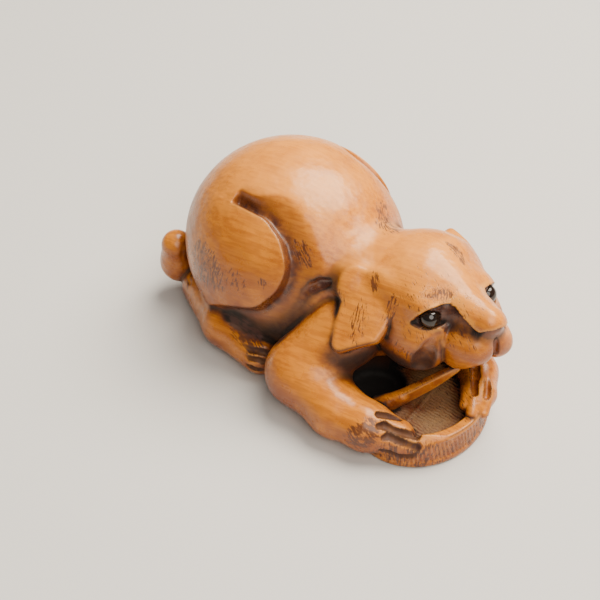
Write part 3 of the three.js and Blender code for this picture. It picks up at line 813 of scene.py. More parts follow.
# Where the strokes lie. A patch's number in this row also decides how its strokes are broken up.
PATCHES = (
    Strokes((21.7, 0.3, 20.8), (0.55, -0.7, -0.45), 1.1, 2.8, 1.0),
    Strokes((16.8, -3.0, 17.6), (0.05, -0.45, -0.9), 3.2, 1.4, 0.8),
    Strokes((20.0, 7.3, 22.4), (0.8, -0.3, -0.4), 2.6, 1.2, 1.0, 0.06),
    Strokes((-9.1, -8.9, 15.2), (-0.1, -0.12, -1.0), 4.4, 5.4, 0.88),
    Strokes((-9.0, -8.8, 16.2), (-0.1, -0.12, -1.0), 1.8, 1.7, 1.0),
    Strokes((-3.6, -9.4, 16.0), (-0.2, -0.2, -1.0), 2.0, 2.6, 0.7),
    Strokes((0.3, -8.4, 16.9), (0.2, -0.2, -1.0), 1.0, 0.9, 1.0),
    Strokes((3.2, -3.5, 20.3), (0.6, -0.2, -0.7), 2.6, 1.6, 0.95),
    Strokes((20.0, -12.8, 5.0), (0.75, 0.15, -0.6), 2.4, 3.4, 1.15),
    Strokes((-3.2, -7.3, 6.2), (1.0, -0.25, -0.3), 4.6, 2.4, 1.1, 0.05),
    Strokes((8.4, 7.8, 21.2), (0.7, -0.6, -0.1), 4.5, 2.2, 0.9),
    Strokes((19.3, -4.2, 12.8), (-0.15, 0.1, -1.0), 2.2, 2.6, 0.7),
    Strokes((20.3, -6.9, 5.2), (0.8, 0.1, -0.4), 1.8, 1.8, 0.8),
    Strokes((-16.9, -4.3, 5.6), (0.5, -0.4, -0.8), 2.0, 1.6, 0.8),
    Strokes((25.4, 0.9, 17.6), (0.6, -0.3, -0.7), 0.9, 1.2, 0.35),
    Strokes((10.6, -4.6, 16.4), (0.5, -0.4, -0.7), 2.4, 1.4, 0.6),
    Strokes((13.6, -5.2, 15.4), (0.25, -0.65, -0.7), 3.8, 1.7, 0.8),
    Strokes((13.4, -1.2, 19.2), (0.5, -0.5, -0.6), 1.8, 1.3, 0.9),
    Strokes((23.0, -2.5, 3.3), (0.87, -0.49, 0.0), 9.0, 9.0, 0.6),
    Strokes((25.6, -8.9, 2.2), (0.0, 0.0, 1.0), 3.2, 9.0, 0.85),
    Strokes((-9.1, 18.6, 14.0), (-0.1, 0.12, -1.0), 3.6, 4.2, 0.6),
    Strokes((-3.2, 17.0, 5.6), (1.0, 0.25, -0.3), 4.0, 2.0, 0.8),
    Strokes((18.0, 14.2, 5.0), (0.9, -0.2, -0.3), 2.4, 2.6, 0.8),
    Strokes((30.4, 1.5, 2.2), (0.0, 0.0, 1.0), 3.2, 9.0, 0.8),
)


# --- the whole carving

@dataclass(frozen=True)
class Carving:
    """The puppy, its sandal and the thong, all of one block."""

    body: Body = Body()
    forelegs: Forelegs = Forelegs()
    sandal: Sandal = Sandal()
    head: Head = Head()
    hollow: Hollow = Hollow()
    under_cheek: Limb = Limb(
        ((11.3, -7.6, 10.2), (13.6, -6.6, 9.4), (16.5, -4.6, 9.8), (19.5, -3.6, 10.6)),
        (0.8, 1.1, 1.3, 1.0),
    )
    cord_holes: Limb = Limb(
        ((-9.5, 4.8, -3.5), (-8.8, 4.8, 4.0), (-3.0, 4.8, 6.6), (2.6, 4.8, 4.0), (3.2, 4.8, -3.5)),
        (3.5, 3.4, 2.0, 1.9, 2.1), 0.5,
    )

    def distance(self, p: Points) -> Values:
        """Distances to the finished wood.

        Args:
            p: Points in the carver's frame, in millimetres.

        Returns:
            Distances, negative inside.
        """
        wood = join(self.body.distance(p), p, (self.hollow.block, 0.5), (self.sandal, 0.3))
        wood = self.forelegs.add_far(wood, p)
        wood = carve(wood, self.body.armpit.distance(p), 0.25)
        wood = self.forelegs.add_near(wood, p)
        wood = carve(wood, self.hollow.distance(p), 0.4)
        wood = smooth_min(wood, self.sandal.thong.distance(p), 0.2)
        wood = smooth_min(wood, self.head.distance(p), self.head.neck_width(p))
        wood = carve(wood, self.cord_holes.distance(p), 0.3)
        return smooth_max(wood, -p[:, 2], 0.2)


# --- from field to mesh

CORNERS = np.array([(i, j, k) for i in (0, 1) for j in (0, 1) for k in (0, 1)])
EDGES = tuple(
    (a, b) for a in range(8) for b in range(a + 1, 8) if np.abs(CORNERS[a] - CORNERS[b]).sum() == 1
)


def is_ambiguous(code: int) -> bool:
    """Tell whether a cell's corners leave open how the surface runs through it.

    Args:
        code: One bit for each corner, set where the corner is inside.

    Returns:
        True where one side is chequered, or where the corners of one kind aren't all neighbours.
    """
    inside = [(code >> n) & 1 for n in range(8)]
    for axis in range(3):
        for level in (0, 1):
            a, b, c, d = (inside[n] for n in range(8) if CORNERS[n][axis] == level)
            if a == d and b == c and a != b:
                return True
    for kind in (0, 1):
        members = {n for n in range(8) if inside[n] == kind}
        if members:
            reached = {min(members)}
            for _ in range(8):
                reached |= {b for a, b in EDGES if a in reached} & members
                reached |= {a for a, b in EDGES if b in reached} & members
            if reached != members:
                return True
    return False


AMBIGUOUS = np.array([is_ambiguous(code) for code in range(256)])


def rows(places: np.ndarray) -> tuple[np.ndarray, ...]:
    """Rows of three whole numbers as an index into a grid."""
    return tuple(np.moveaxis(places, -1, 0))


@dataclass
class Net:
    """A net of quads over the surface of a field."""

    distance: Callable[[Points], Values]
    low: Place
    high: Place
    step: float
    block: int = 4
    chunk: int = 300_000

    def sample(self) -> np.ndarray:
        """Sample the field near the surface, and only its sign elsewhere.

        Returns:
            The values on the grid.
        """
        counts = np.ceil((np.asarray(self.high) - self.low) / self.step).astype(int) + 1
        blocks = -(-counts // self.block)
        places = np.argwhere(np.ones(blocks, bool))
        centres = self.low + self.step * (places * self.block + (self.block - 1) / 2)
        middle = self.measure(centres)
        values = np.empty(tuple(blocks * self.block))
        view = values.reshape(blocks[0], self.block, blocks[1], self.block, blocks[2], self.block)
        view[:] = (np.sign(middle).reshape(blocks) * self.step * 4)[:, None, :, None, :, None]
        near = places[np.abs(middle) < self.step * self.block * 1.35]
        inner = np.argwhere(np.ones([self.block] * 3, bool))
        points = self.low + self.step * ((near * self.block)[:, None, :] + inner[None])
        fine = self.measure(points.reshape(-1, 3)).reshape(-1, self.block, self.block, self.block)
        view[near[:, 0], :, near[:, 1], :, near[:, 2], :] = fine
        return values

    def measure(self, points: Points) -> Values:
        """Distances of many points, measured a chunk at a time."""
        starts = range(0, len(points), self.chunk)
        return np.concatenate([self.distance(points[start:start + self.chunk]) for start in starts])

    def corner_codes(self, values: np.ndarray) -> np.ndarray:
        """The inside corners of every cell, one bit each.

        Args:
            values: The samples on the grid.

        Returns:
            A code for each cell.
        """
        inside = values < 0
        nx, ny, nz = (n - 1 for n in values.shape)
        codes = np.zeros((nx, ny, nz), np.uint8)
        for bit, (i, j, k) in enumerate(CORNERS):
            codes |= inside[i:nx + i, j:ny + j, k:nz + k].astype(np.uint8) << bit
        return codes

    def settle(self, values: np.ndarray) -> np.ndarray:
        """Fill the outside corner nearest the wood in every ambiguous cell, until none is left.

        Args:
            values: The samples on the grid, changed in place.

        Returns:
            The corner codes of the settled grid.
        """
        while True:
            codes = self.corner_codes(values)
            cells = np.argwhere(AMBIGUOUS[codes])
            if not len(cells):
                return codes
            corners = cells[:, None, :] + CORNERS[None]
            sampled = values[rows(corners)]
            nearest = np.where(sampled < 0, np.inf, sampled).argmin(1)
            chosen = corners[np.arange(len(cells)), nearest]
            values[rows(chosen)] = -1e-3

    def draw(self) -> tuple[Points, np.ndarray]:
        """Place one vertex in each cell that the surface crosses, and a quad on each crossed edge.

        Returns:
            The vertices in millimetres, and the quads with their faces outwards.
        """
        values = self.sample()
        codes = self.settle(values)
        cells = np.argwhere((codes > 0) & (codes < 255))
        index = np.full(codes.shape, -1, np.int64)
        index[rows(cells)] = np.arange(len(cells))
        corners = cells[:, None, :] + CORNERS[None]
        sampled = values[rows(corners)]
        total = np.zeros((len(cells), 3))
        crossings = np.zeros(len(cells))
        for a, b in EDGES:
            crossed = (sampled[:, a] < 0) != (sampled[:, b] < 0)
            gap = np.where(crossed, sampled[:, a] - sampled[:, b], 1.0)
            share = np.where(crossed, sampled[:, a] / gap, 0.0)
            total += (CORNERS[a] + share[:, None] * (CORNERS[b] - CORNERS[a])) * crossed[:, None]
            crossings += crossed
        vertices = self.low + self.step * (cells + total / crossings[:, None])
        inside = values < 0
        quads = [self.quads_along(axis, inside, index) for axis in range(3)]
        return vertices, np.concatenate(quads)

    def quads_along(self, axis: int, inside: np.ndarray, index: np.ndarray) -> np.ndarray:
        """The quads around the crossed grid edges of one direction.

        Args:
            axis: The direction of the edges.
            inside: Which samples lie inside the wood.
            index: The vertex in each cell.

        Returns:
            Four vertices for each quad, with its face outwards.
        """
        u, v = (axis + 1) % 3, (axis + 2) % 3
        here = np.moveaxis(inside, axis, 0)
        edges = np.argwhere(np.moveaxis(here[:-1] != here[1:], 0, axis))
        first = inside[rows(edges)]
        du, dv = np.eye(3, dtype=int)[u], np.eye(3, dtype=int)[v]
        ring = [edges - du - dv, edges - dv, edges, edges - du]
        quads = np.stack([index[rows(c)] for c in ring], 1)
        quads[~first] = quads[~first][:, ::-1]
        return quads


# --- finishes

class Nodes:
    """A node tree being laid out, with short calls that add nodes and link them."""

    def __init__(self, tree: bpy.types.NodeTree) -> None:
        """Start on an empty tree.

        Args:
            tree: The node tree of a material or a group.
        """
        self.tree = tree
        self.tree.nodes.clear()

    def add(self, kind: str, inputs: dict | None = None, **settings: object) -> bpy.types.Node:
        """Add a node.

        Args:
            kind: The node's type, without its ShaderNode prefix.
            inputs: Values or sockets for its inputs, by name or number.
            settings: The node's own settings.

        Returns:
            The node.
        """
        node = self.tree.nodes.new(kind if kind.startswith("NodeGroup") else "ShaderNode" + kind)
        for name, value in settings.items():
            setattr(node, name, value)
        for name, value in (inputs or {}).items():
            self.feed(node.inputs[name], value)
        return node

    def feed(self, socket: Socket, value: object) -> None:
        """Link a socket to another, or give it a value.

        Args:
            socket: The input.
            value: An output socket, a number or a colour.
        """
        if isinstance(value, Socket):
            self.tree.links.new(value, socket)
        else:
            socket.default_value = value

    def math(self, operation: str, a: object, b: object = 0.0, clamp: bool = False) -> Socket:
        """The result of a sum of one or two values or sockets."""
        return self.add("Math", {0: a, 1: b}, operation=operation, use_clamp=clamp).outputs[0]

    def mix(self, share: object, a: object, b: object) -> Socket:
        """Two colours mixed, with a share of the second."""
        return self.add("Mix", {0: share, 6: a, 7: b}, data_type="RGBA").outputs[2]

    def between(self, value: object, low: float, high: float, start: float = 0.0, end: float = 1.0) -> Socket:
        """A value mapped smoothly, from start where it is low to end where it is high."""
        inputs = {"Value": value, "From Min": low, "From Max": high, "To Min": start, "To Max": end}
        return self.add("MapRange", inputs, interpolation_type="SMOOTHSTEP").outputs[0]

    def mask(self, name: str) -> Socket:
        """A value stored on the mesh, by its name."""
        return self.add("Attribute", attribute_name=name).outputs["Fac"]

    def noise(self, where: object, scale: float, detail: float = 3.0, roughness: float = 0.5) -> Socket:
        """Smooth noise around 0.5, with finer layers that are as strong as its roughness."""
        inputs = {"Vector": where, "Scale": scale, "Detail": detail, "Roughness": roughness}
        return self.add("TexNoise", inputs).outputs["Fac"]

    def millimetres(self, stretch: Place = (1.0, 1.0, 1.0), turn: Place = (0.0, 0.0, 0.0)) -> Socket:
        """Coordinates on the piece in millimetres.

        Args:
            stretch: A factor for each axis.
            turn: A turn about each axis, in degrees.

        Returns:
            The coordinates.
        """
        place = self.add("TexCoord").outputs["Object"]
        turned = self.add("Mapping", {"Vector": place, "Rotation": [math.radians(t) for t in turn]})
        scale = [s / MM for s in stretch]
        return self.add("Mapping", {"Vector": turned.outputs[0], "Scale": scale}).outputs[0]


class Effect:
    """A shader node group, built once and placed in the materials that need it."""

    name = "effect"
    takes: tuple[tuple[str, str, object], ...] = ()
    gives: tuple[tuple[str, str], ...] = ()

    def lay(self, nodes: Nodes, inputs: bpy.types.Node) -> dict[str, Socket]:
        """Lay out the group's nodes and give the sockets to put out, by name."""
        raise NotImplementedError

    def place(self, nodes: Nodes, values: dict[str, object]) -> bpy.types.Node:
        """Put the group into a material, with values or sockets for its inputs."""
        group = bpy.data.node_groups.get(self.name) or self.build()
        return nodes.add("Group", values, node_tree=group)

    def build(self) -> bpy.types.NodeTree:
        """Make the node group.

        Returns:
            The group.
        """
        group = bpy.data.node_groups.new(self.name, "ShaderNodeTree")
        nodes, face = Nodes(group), group.interface
        for name, kind, value in self.takes:
            socket = face.new_socket(name, in_out="INPUT", socket_type="NodeSocket" + kind)
            socket.default_value = value
        for name, kind in self.gives:
            face.new_socket(name, in_out="OUTPUT", socket_type="NodeSocket" + kind)
        inputs = nodes.add("NodeGroupInput")
        nodes.add("NodeGroupOutput", self.lay(nodes, inputs))
        return group


class FineGrain(Effect):
    """Close, faint growth lines with short pores along them, as in boxwood or horn."""

    name = "fine grain"
    takes = (
        ("Light", "Color", (0.8, 0.5, 0.2, 1.0)), ("Dark", "Color", (0.5, 0.3, 0.1, 1.0)),
        ("Strength", "Float", 0.5), ("Lines", "Float", 1.0),
    )
    gives = (("Colour", "Color"), ("Height", "Float"))

    def lay(self, nodes: Nodes, inputs: bpy.types.Node) -> dict[str, Socket]:
        """Lay out lines, pores and slow patches.

        Args:
            nodes: The group's tree.
            inputs: The group's input node.

        Returns:
            The colour and the height.
        """
        along = nodes.millimetres((0.06, 1.0, 1.0), (0.0, 4.0, -6.0))
        lines = nodes.noise(along, inputs.outputs["Lines"], 4.0, 0.6)
        pores = nodes.noise(nodes.millimetres((0.5, 4.0, 4.0), (0.0, 4.0, -6.0)), 1.4, 2.0)
        patches = nodes.noise(nodes.millimetres(), 0.16, 3.0)
        streaks = nodes.between(lines, 0.4, 0.6, 0.0, 0.6)
        tone = nodes.math("ADD", streaks, nodes.between(patches, 0.35, 0.7, 0.0, 0.4))
        share = nodes.math("MULTIPLY", tone, inputs.outputs["Strength"], clamp=True)
        colour = nodes.mix(share, inputs.outputs["Light"], inputs.outputs["Dark"])
        height = nodes.math("ADD", nodes.math("MULTIPLY", lines, 0.6), nodes.math("MULTIPLY", pores, 0.4))
        return {"Colour": colour, "Height": height}


class HandWear(Effect):
    """Hairline scratches and dull spots left by years of handling."""

    name = "hand wear"
    takes = (("Amount", "Float", 0.5),)
    gives = (("Scratches", "Float"), ("Dull", "Float"))

    def lay(self, nodes: Nodes, inputs: bpy.types.Node) -> dict[str, Socket]:
        """Lay out two families of scratches and the dull spots.

        Args:
            nodes: The group's tree.
            inputs: The group's input node.

        Returns:
            The scratches and the dullness.
        """
        one = nodes.noise(nodes.millimetres((0.15, 6.0, 6.0), (20.0, 35.0, 50.0)), 0.9, 2.0)
        two = nodes.noise(nodes.millimetres((6.0, 0.15, 6.0), (-30.0, 10.0, 15.0)), 0.9, 2.0)
        scratches = nodes.math("MAXIMUM", nodes.between(one, 0.68, 0.76), nodes.between(two, 0.7, 0.78))
        dull = nodes.between(nodes.noise(nodes.millimetres(), 0.5, 4.0, 0.6), 0.4, 0.7)
        amount = inputs.outputs["Amount"]
        return {
            "Scratches": nodes.math("MULTIPLY", scratches, amount),
            "Dull": nodes.math("MULTIPLY", dull, amount),
        }


class Mask(Enum):
    """Values from 0 to 1 stored on the carving's vertices: for the finish, and for where shade and light are
    painted.
    """

    CREASE = "crease"
    SHADE = "shade"
    STAIN_AND_SHADE = "stain_and_shade"
    EDGE = "edge"
    STRAW = "straw"
    WORN_AND_LIT_TOP = "worn_and_lit_top"
    SIDE_AND_UNDER_SHADE = "side_and_under_shade"
    STROKES = "strokes"


STROKE_PLACE = "stroke_place"


class GraverStrokes(Effect):
    """Short cuts side by side, each a little stronger or weaker, as a graver leaves them."""

    name = "graver strokes"
    takes = (("Weight", "Float", 0.0), ("Place", "Vector", (0.0, 0.0, 0.0)), ("Close", "Float", 5.5))
    gives = (("Line", "Float"),)

    def lay(self, nodes: Nodes, inputs: bpy.types.Node) -> dict[str, Socket]:
        """Lay lines along the strokes and break them up.

        Args:
            nodes: The group's tree.
            inputs: The group's input node.

        Returns:
            The lines.
        """
        place = inputs.outputs["Place"]
        fine = nodes.add("Mapping", {"Vector": place, "Scale": (1.0, 0.16, 1.0)}).outputs[0]
        lines = nodes.noise(fine, inputs.outputs["Close"], 2.0, 0.6)
        breaks = nodes.noise(place, 1.1, 3.0, 0.6)
        broken = nodes.between(breaks, 0.25, 0.55, 0.45, 1.15)
        missing = nodes.math("SUBTRACT", 1.0, nodes.math("MULTIPLY", inputs.outputs["Weight"], broken))
        level = nodes.math("SUBTRACT", lines, nodes.math("MULTIPLY", missing, 0.28))
        return {"Line": nodes.between(level, 0.44, 0.53)}


@dataclass(frozen=True)
class Boxwood:
    """Old polished boxwood, stained in its cuts, with painted shade in its hollows and below and painted
    light on top.
    """

    honey: Place = (0.69, 0.232, 0.013)
    amber: Place = (0.38, 0.098, 0.005)
    # Dark brown for painted shade on sides and undersides.
    side_and_under_shade: Place = (0.24, 0.050, 0.004)
    # Russet for painted shade in wide hollows.
    shade_russet: Place = (0.15, 0.032, 0.008)
    plum: Place = (0.060, 0.020, 0.014)
    # Near-black for painted shade in creases and in the hollow.
    shade_umber: Place = (0.005, 0.003, 0.002)
    straw: Place = (0.21, 0.145, 0.075)
    rubbed: Place = (0.76, 0.34, 0.05)
    # Pale orange for wear and painted light on the upward-facing tops.
    worn_and_lit_top: Place = (0.86, 0.335, 0.045)

    def colour(self, nodes: Nodes, line: Socket) -> Socket:
        """Lay stain, painted shade and painted light over the grain.

        Args:
            nodes: The material's tree.
            line: The graver's strokes.

        Returns:
            The colour.
        """
        grain = FineGrain().place(nodes, {
            "Light": (*self.honey, 1.0), "Dark": (*self.amber, 1.0), "Strength": 0.8, "Lines": 2.2,
        })
        mottle = nodes.noise(nodes.millimetres(), 0.7, 4.0, 0.65)
        clouds = nodes.noise(nodes.millimetres(), 0.22, 3.0, 0.6)
        uneven = nodes.between(mottle, 0.3, 0.7, 0.45, 1.0)
        layers = (
            # Painted shade on the sides and undersides.
            (Mask.SIDE_AND_UNDER_SHADE, nodes.between(clouds, 0.3, 0.65, 0.35, 1.0), self.side_and_under_shade),
            # Wear and painted light on the upward-facing tops.
            (Mask.WORN_AND_LIT_TOP, nodes.between(clouds, 0.35, 0.65, 0.5, 1.0), self.worn_and_lit_top),
            (Mask.STRAW, 1.0, self.straw),
            (Mask.EDGE, uneven, self.rubbed),
            # Russet painted shade in wide hollows.
            (Mask.SHADE, uneven, self.shade_russet),
            # Dark stain and painted shade in the recesses, in plum.
            (Mask.STAIN_AND_SHADE, nodes.between(mottle, 0.3, 0.6, 0.7, 1.0), self.plum),
            # Near-black painted shade in narrow creases, the hollow and the toe grooves.
            (Mask.CREASE, 1.0, self.shade_umber),
        )
        colour = grain.outputs["Colour"]
        for mask, share, tone in layers:
            colour = nodes.mix(nodes.math("MULTIPLY", nodes.mask(mask.value), share), colour, (*tone, 1.0))
        return nodes.mix(nodes.math("MULTIPLY", line, 0.82), colour, (*self.plum, 1.0))

    def material(self) -> bpy.types.Material:
        """Make the material.

        Returns:
            The material.
        """
        made = bpy.data.materials.new("stained boxwood with painted shade and light")
        made.use_nodes = True
        nodes = Nodes(made.node_tree)
        place = nodes.add("Attribute", attribute_name=STROKE_PLACE).outputs["Vector"]
        strokes = GraverStrokes().place(nodes, {"Weight": nodes.mask(Mask.STROKES.value), "Place": place})
        line = strokes.outputs["Line"]
        wear = HandWear().place(nodes, {"Amount": 1.0})
        fine = FineGrain().place(nodes, {"Strength": 1.0, "Lines": 2.2})
        rough = nodes.math("MULTIPLY", wear.outputs["Dull"], 0.14)
        rough = nodes.math("ADD", rough, 0.27)
        crease = nodes.mask(Mask.CREASE.value)
        rough = nodes.math("ADD", rough, nodes.math("MULTIPLY", crease, 0.5))
        coat = nodes.math("MULTIPLY", nodes.math("SUBTRACT", 1.0, crease), 0.12)
        rough = nodes.math("ADD", rough, nodes.math("MULTIPLY", nodes.mask(Mask.STRAW.value), 0.2))
        cuts = nodes.math("MAXIMUM", line, nodes.math("MULTIPLY", wear.outputs["Scratches"], 0.5))
        height = nodes.math("SUBTRACT", nodes.math("MULTIPLY", fine.outputs["Height"], 0.5), cuts)
        waves = nodes.noise(nodes.millimetres(), 0.35, 2.0)
        uneven = nodes.add("Bump", {"Height": waves, "Strength": 0.5, "Distance": 0.5 * MM})
        bump = nodes.add("Bump", {
            "Height": height, "Strength": 0.35, "Distance": 0.06 * MM, "Normal": uneven.outputs[0],
        })
        shader = nodes.add("BsdfPrincipled", {
            "Base Color": self.colour(nodes, line), "Roughness": rough, "Normal": bump.outputs[0],
            "Coat Weight": coat, "Coat Roughness": 0.2, "IOR": 1.45,
        })
        nodes.add("OutputMaterial", {"Surface": shader.outputs[0]})
        return made


@dataclass(frozen=True)
class DarkHorn:
    """Polished dark horn."""

    black: Place = (0.006, 0.004, 0.003)
    brown: Place = (0.035, 0.016, 0.008)

    def material(self) -> bpy.types.Material:
        """Make the material.

        Returns:
            The material.
        """
        made = bpy.data.materials.new("dark horn")
        made.use_nodes = True
        nodes = Nodes(made.node_tree)
        grain = FineGrain().place(nodes, {
            "Light": (*self.black, 1.0), "Dark": (*self.brown, 1.0), "Strength": 0.5, "Lines": 4.0,
        })
        wear = HandWear().place(nodes, {"Amount": 0.4})
        rough = nodes.math("ADD", nodes.math("MULTIPLY", wear.outputs["Dull"], 0.15), 0.08)
        height = nodes.math("MULTIPLY", wear.outputs["Scratches"], -1.0)
        bump = nodes.add("Bump", {"Height": height, "Strength": 0.1, "Distance": 0.02 * MM})
        shader = nodes.add("BsdfPrincipled", {
            "Base Color": grain.outputs["Colour"], "Roughness": rough, "Normal": bump.outputs[0],
            "Coat Weight": 0.2, "Coat Roughness": 0.05,
        })
        nodes.add("OutputMaterial", {"Surface": shader.outputs[0]})
        return made


# --- pieces

def new_object(name: str, data: bpy.types.ID) -> bpy.types.Object:
    """Make an object of a mesh, a light or a camera.

    Args:
        name: Its name.
        data: What it holds.

    Returns:
        The object, linked into the scene.
    """
    made = bpy.data.objects.new(name, data)
    bpy.context.scene.collection.objects.link(made)
    return made


def mesh_object(name: str, vertices: Points, faces: np.ndarray) -> bpy.types.Object:
    """Make a smooth-shaded mesh object.

    Args:
        name: The piece's name.
        vertices: Places in metres.
        faces: Vertex numbers of each face.

    Returns:
        The object.
    """
    mesh = bpy.data.meshes.new(name)
    mesh.from_pydata(vertices, [], faces)
    mesh.polygons.foreach_set("use_smooth", np.ones(len(mesh.polygons), bool))
    mesh.update()
    return new_object(name, mesh)


def store(mesh: bpy.types.Mesh, name: str, values: np.ndarray) -> None:
    """Store a number or a place for each vertex, under a name."""
    kind, key = ("FLOAT", "value") if values.ndim == 1 else ("FLOAT_VECTOR", "vector")
    mesh.attributes.new(name, kind, "POINT").data.foreach_set(key, values.astype(np.float32).ravel())


@dataclass
class CarvedPuppy:
    """The mesh of the carving, with the masks for its finish and for its painted shade and light."""

    carving: Carving
    shift: np.ndarray
    fine_step: float = 0.18
    quick_step: float = 0.28
    most_triangles: int = 190_000
    reaches: Place = (0.35, 1.2, 3.0)
    edge_reach: float = 0.5
    low: Place = (-27.0, -17.0, -1.2)
    high: Place = (33.5, 24.0, 30.0)

    def distance(self, p: Points) -> Values:
        """Distances to the carving, with the beds of the eyes cut.

        Args:
            p: Points in millimetres.

        Returns:
            Distances, negative inside.
        """
        wood = self.carving.distance(p)
        for side in (-1, 1):
            bead = np.linalg.norm(p - self.carving.head.eye_place(side), axis=1)
            wood = np.maximum(wood, self.carving.head.eye_radius - bead)
        return wood

    def normals(self, net: Net, p: Points, reach: float = 0.05) -> Points:
        """Directions in which the distance grows fastest.

        Args:
            net: The net, for its measuring.
            p: Points in millimetres.
            reach: How far apart the samples are.

        Returns:
            Unit vectors.
        """
        slope = np.empty_like(p)
        for axis in range(3):
            step = np.zeros(3)
            step[axis] = reach
            slope[:, axis] = net.measure(p + step) - net.measure(p - step)
        return slope / np.maximum(np.linalg.norm(slope, axis=1, keepdims=True), 1e-9)

    def build(self) -> bpy.types.Object:
        """Make the carving's mesh.

        Returns:
            The piece.
        """
        step = self.fine_step
        net = Net(self.distance, self.low, self.high, step)
        vertices, quads = net.draw()
        LOG.info("net of %d vertices", len(vertices))
        piece = mesh_object("carved_puppy", vertices, quads)
        share = self.most_triangles / (2 * len(quads))
        if share < 1.0:
            self.thin(piece, share)
        self.settle(piece, net)
        return piece

    def thin(self, piece: bpy.types.Object, share: float) -> None:
        """Thin the mesh where it is smooth.

        Args:
            piece: The carving.
            share: How many of the triangles are left.
        """
        thinning = piece.modifiers.new("thin", "DECIMATE")
        thinning.ratio = share
        graph = bpy.context.evaluated_depsgraph_get()
        dense = piece.data
        piece.data = bpy.data.meshes.new_from_object(piece.evaluated_get(graph))
        piece.modifiers.clear()
        bpy.data.meshes.remove(dense)
        piece.data.name = piece.name

    def settle(self, piece: bpy.types.Object, net: Net) -> None:
        """Move every vertex onto the surface, store the masks and move the piece into place.

        Args:
            piece: The carving.
            net: The net, for its measuring.
        """
        flat = np.empty(len(piece.data.vertices) * 3)
        piece.data.vertices.foreach_get("co", flat)
        p = flat.reshape(-1, 3)
        normals = self.normals(net, p)
        p = p - normals * np.clip(net.measure(p), -0.1, 0.1)[:, None]
        p[:, 2] = np.maximum(p[:, 2], 0.0)
        for mask, values in self.masks(net, p, normals).items():
            store(piece.data, mask.value, np.clip(values, 0.0, 1.0))
        places, strength = self.strokes(p, normals)
        store(piece.data, Mask.STROKES.value, strength)
        store(piece.data, STROKE_PLACE, places)
        piece.data.vertices.foreach_set("co", ((p + self.shift) * MM).ravel())
        piece.data.update()

    def masks(self, net: Net, p: Points, normals: Points) -> dict[Mask, Values]:
        """Where the finish changes, and where shade and light are painted.

        Args:
            net: The net, for its measuring.
            p: The vertices in millimetres.
            normals: Their outward directions.

        Returns:
            A value from 0 to 1 for each vertex and mask.
        """
        narrow, wide, broad = (1.0 - net.measure(p + normals * reach) / reach for reach in self.reaches)
        convex = 1.0 + net.measure(p - normals * self.edge_reach) / self.edge_reach
        body, sandal, hollow = self.carving.body, self.carving.sandal, self.carving.hollow.distance(p)
        height, up = p[:, 2], normals[:, 2]
        ring = sandal.ring(sandal.local(p))
        tread = ramp(-sandal.distance(p), -0.25, -0.05) * (self.carving.head.distance(p) > 0.3)
        straw = tread * (1.0 - ramp(ring, 0.78, 0.86)) * (height > 2.5)
        # Painted shade: the hollow, the deepest shade under the cheek and the toe grooves are blackened.
        sunk = np.maximum(ramp(-hollow, -0.8, -0.1) * ramp(7.6 - height, 0.0, 2.0), self.deepest_shade(p))
        far = body.far_side(p)
        for groove in (*self.carving.forelegs.toe_grooves, *body.hind_toes):
            depth = -np.minimum(groove.distance(p), groove.distance(far))
            sunk = np.maximum(sunk, ramp(depth, -0.12, 0.06))
        # Painted shade in narrow creases, weaker high up.
        crease_shade = ramp(narrow, 0.1, 0.42) * (0.95 - 0.8 * ramp(height, 18.5, 20.0))
        # Painted shade in wide and broad hollows, weaker high up, and round the hollow under the chin.
        shade = ramp(wide, 0.1, 0.5) * 0.85 + ramp(broad, 0.18, 0.7) * 0.5
        shade = shade * (1.0 - 0.65 * ramp(height, 18.0, 20.0)) + ramp(-hollow, -2.2, -0.2) * 0.6
        return {
            Mask.CREASE: np.maximum(crease_shade, sunk),
            Mask.SHADE: shade,
            Mask.STAIN_AND_SHADE: self.stain_and_shade(p),
            Mask.EDGE: ramp(convex, 0.12, 0.5) * 0.5,
            Mask.STRAW: straw * 0.85,
            # Wear and painted top light: lighter on upper surfaces that face up.
            Mask.WORN_AND_LIT_TOP: ramp(up, 0.6, 0.98) * (1.0 - straw) * ramp(height, 8.0, 20.0) * 0.65,
            # Painted shade on surfaces that face sideways or down.
            Mask.SIDE_AND_UNDER_SHADE: 1.0 - ramp(up, -0.15, 0.88),
        }

    def deepest_shade(self, p: Points) -> Values:
        """Where the painted shade is deepest: under the cheek and at the foot of its fold.

        Args:
            p: The vertices in millimetres.

        Returns:
            Shares from 0 to 1.
        """
        head = self.carving.head
        q = head.level(head.local(p))
        foot = ramp(-head.fold(q), -0.4, 0.1) * ramp(-q[:, 2], 1.8, 5.2) * 0.7
        return np.maximum(foot, ramp(-self.carving.under_cheek.distance(p), -1.3, 0.5) * 0.75)

    def stain_and_shade(self, p: Points) -> Values:
        """Dark stain and painted shade: beside the thigh, in the armpit, under the cheek and round the eyes.

        Args:
            p: The vertices in millimetres.

        Returns:
            Shares from 0 to 1.
        """
        body, head, height = self.carving.body, self.carving.head, p[:, 2]
        near, far = p[:, 1] < body.middle, body.far_side(p)
        # Stain and painted shade beside the thighs: darkest in the cut, wider near the back, and weaker on
        # the far side.
        outline = np.where(near, body.near_thigh.outline(p), body.far_thigh.outline(far))
        away = outline / (0.7 + 0.9 * ramp(height, 12.0, 18.0))
        beside = ramp(outline, -0.25, 0.1) * (1.0 - ramp(away, 0.2, 1.3) * 0.7)
        beside = beside * (1.0 - ramp(away, 1.0, 2.6))
        beside = beside * np.where(near, body.near_thigh.strength(p), 0.7 * body.far_thigh.strength(far))
        beside = beside * np.where(near, 1.0, 1.0 - ramp(height, 14.0, 18.0))
        stain_and_shade = beside * ramp(np.abs(p[:, 1] - body.middle), 3.0, 6.0)
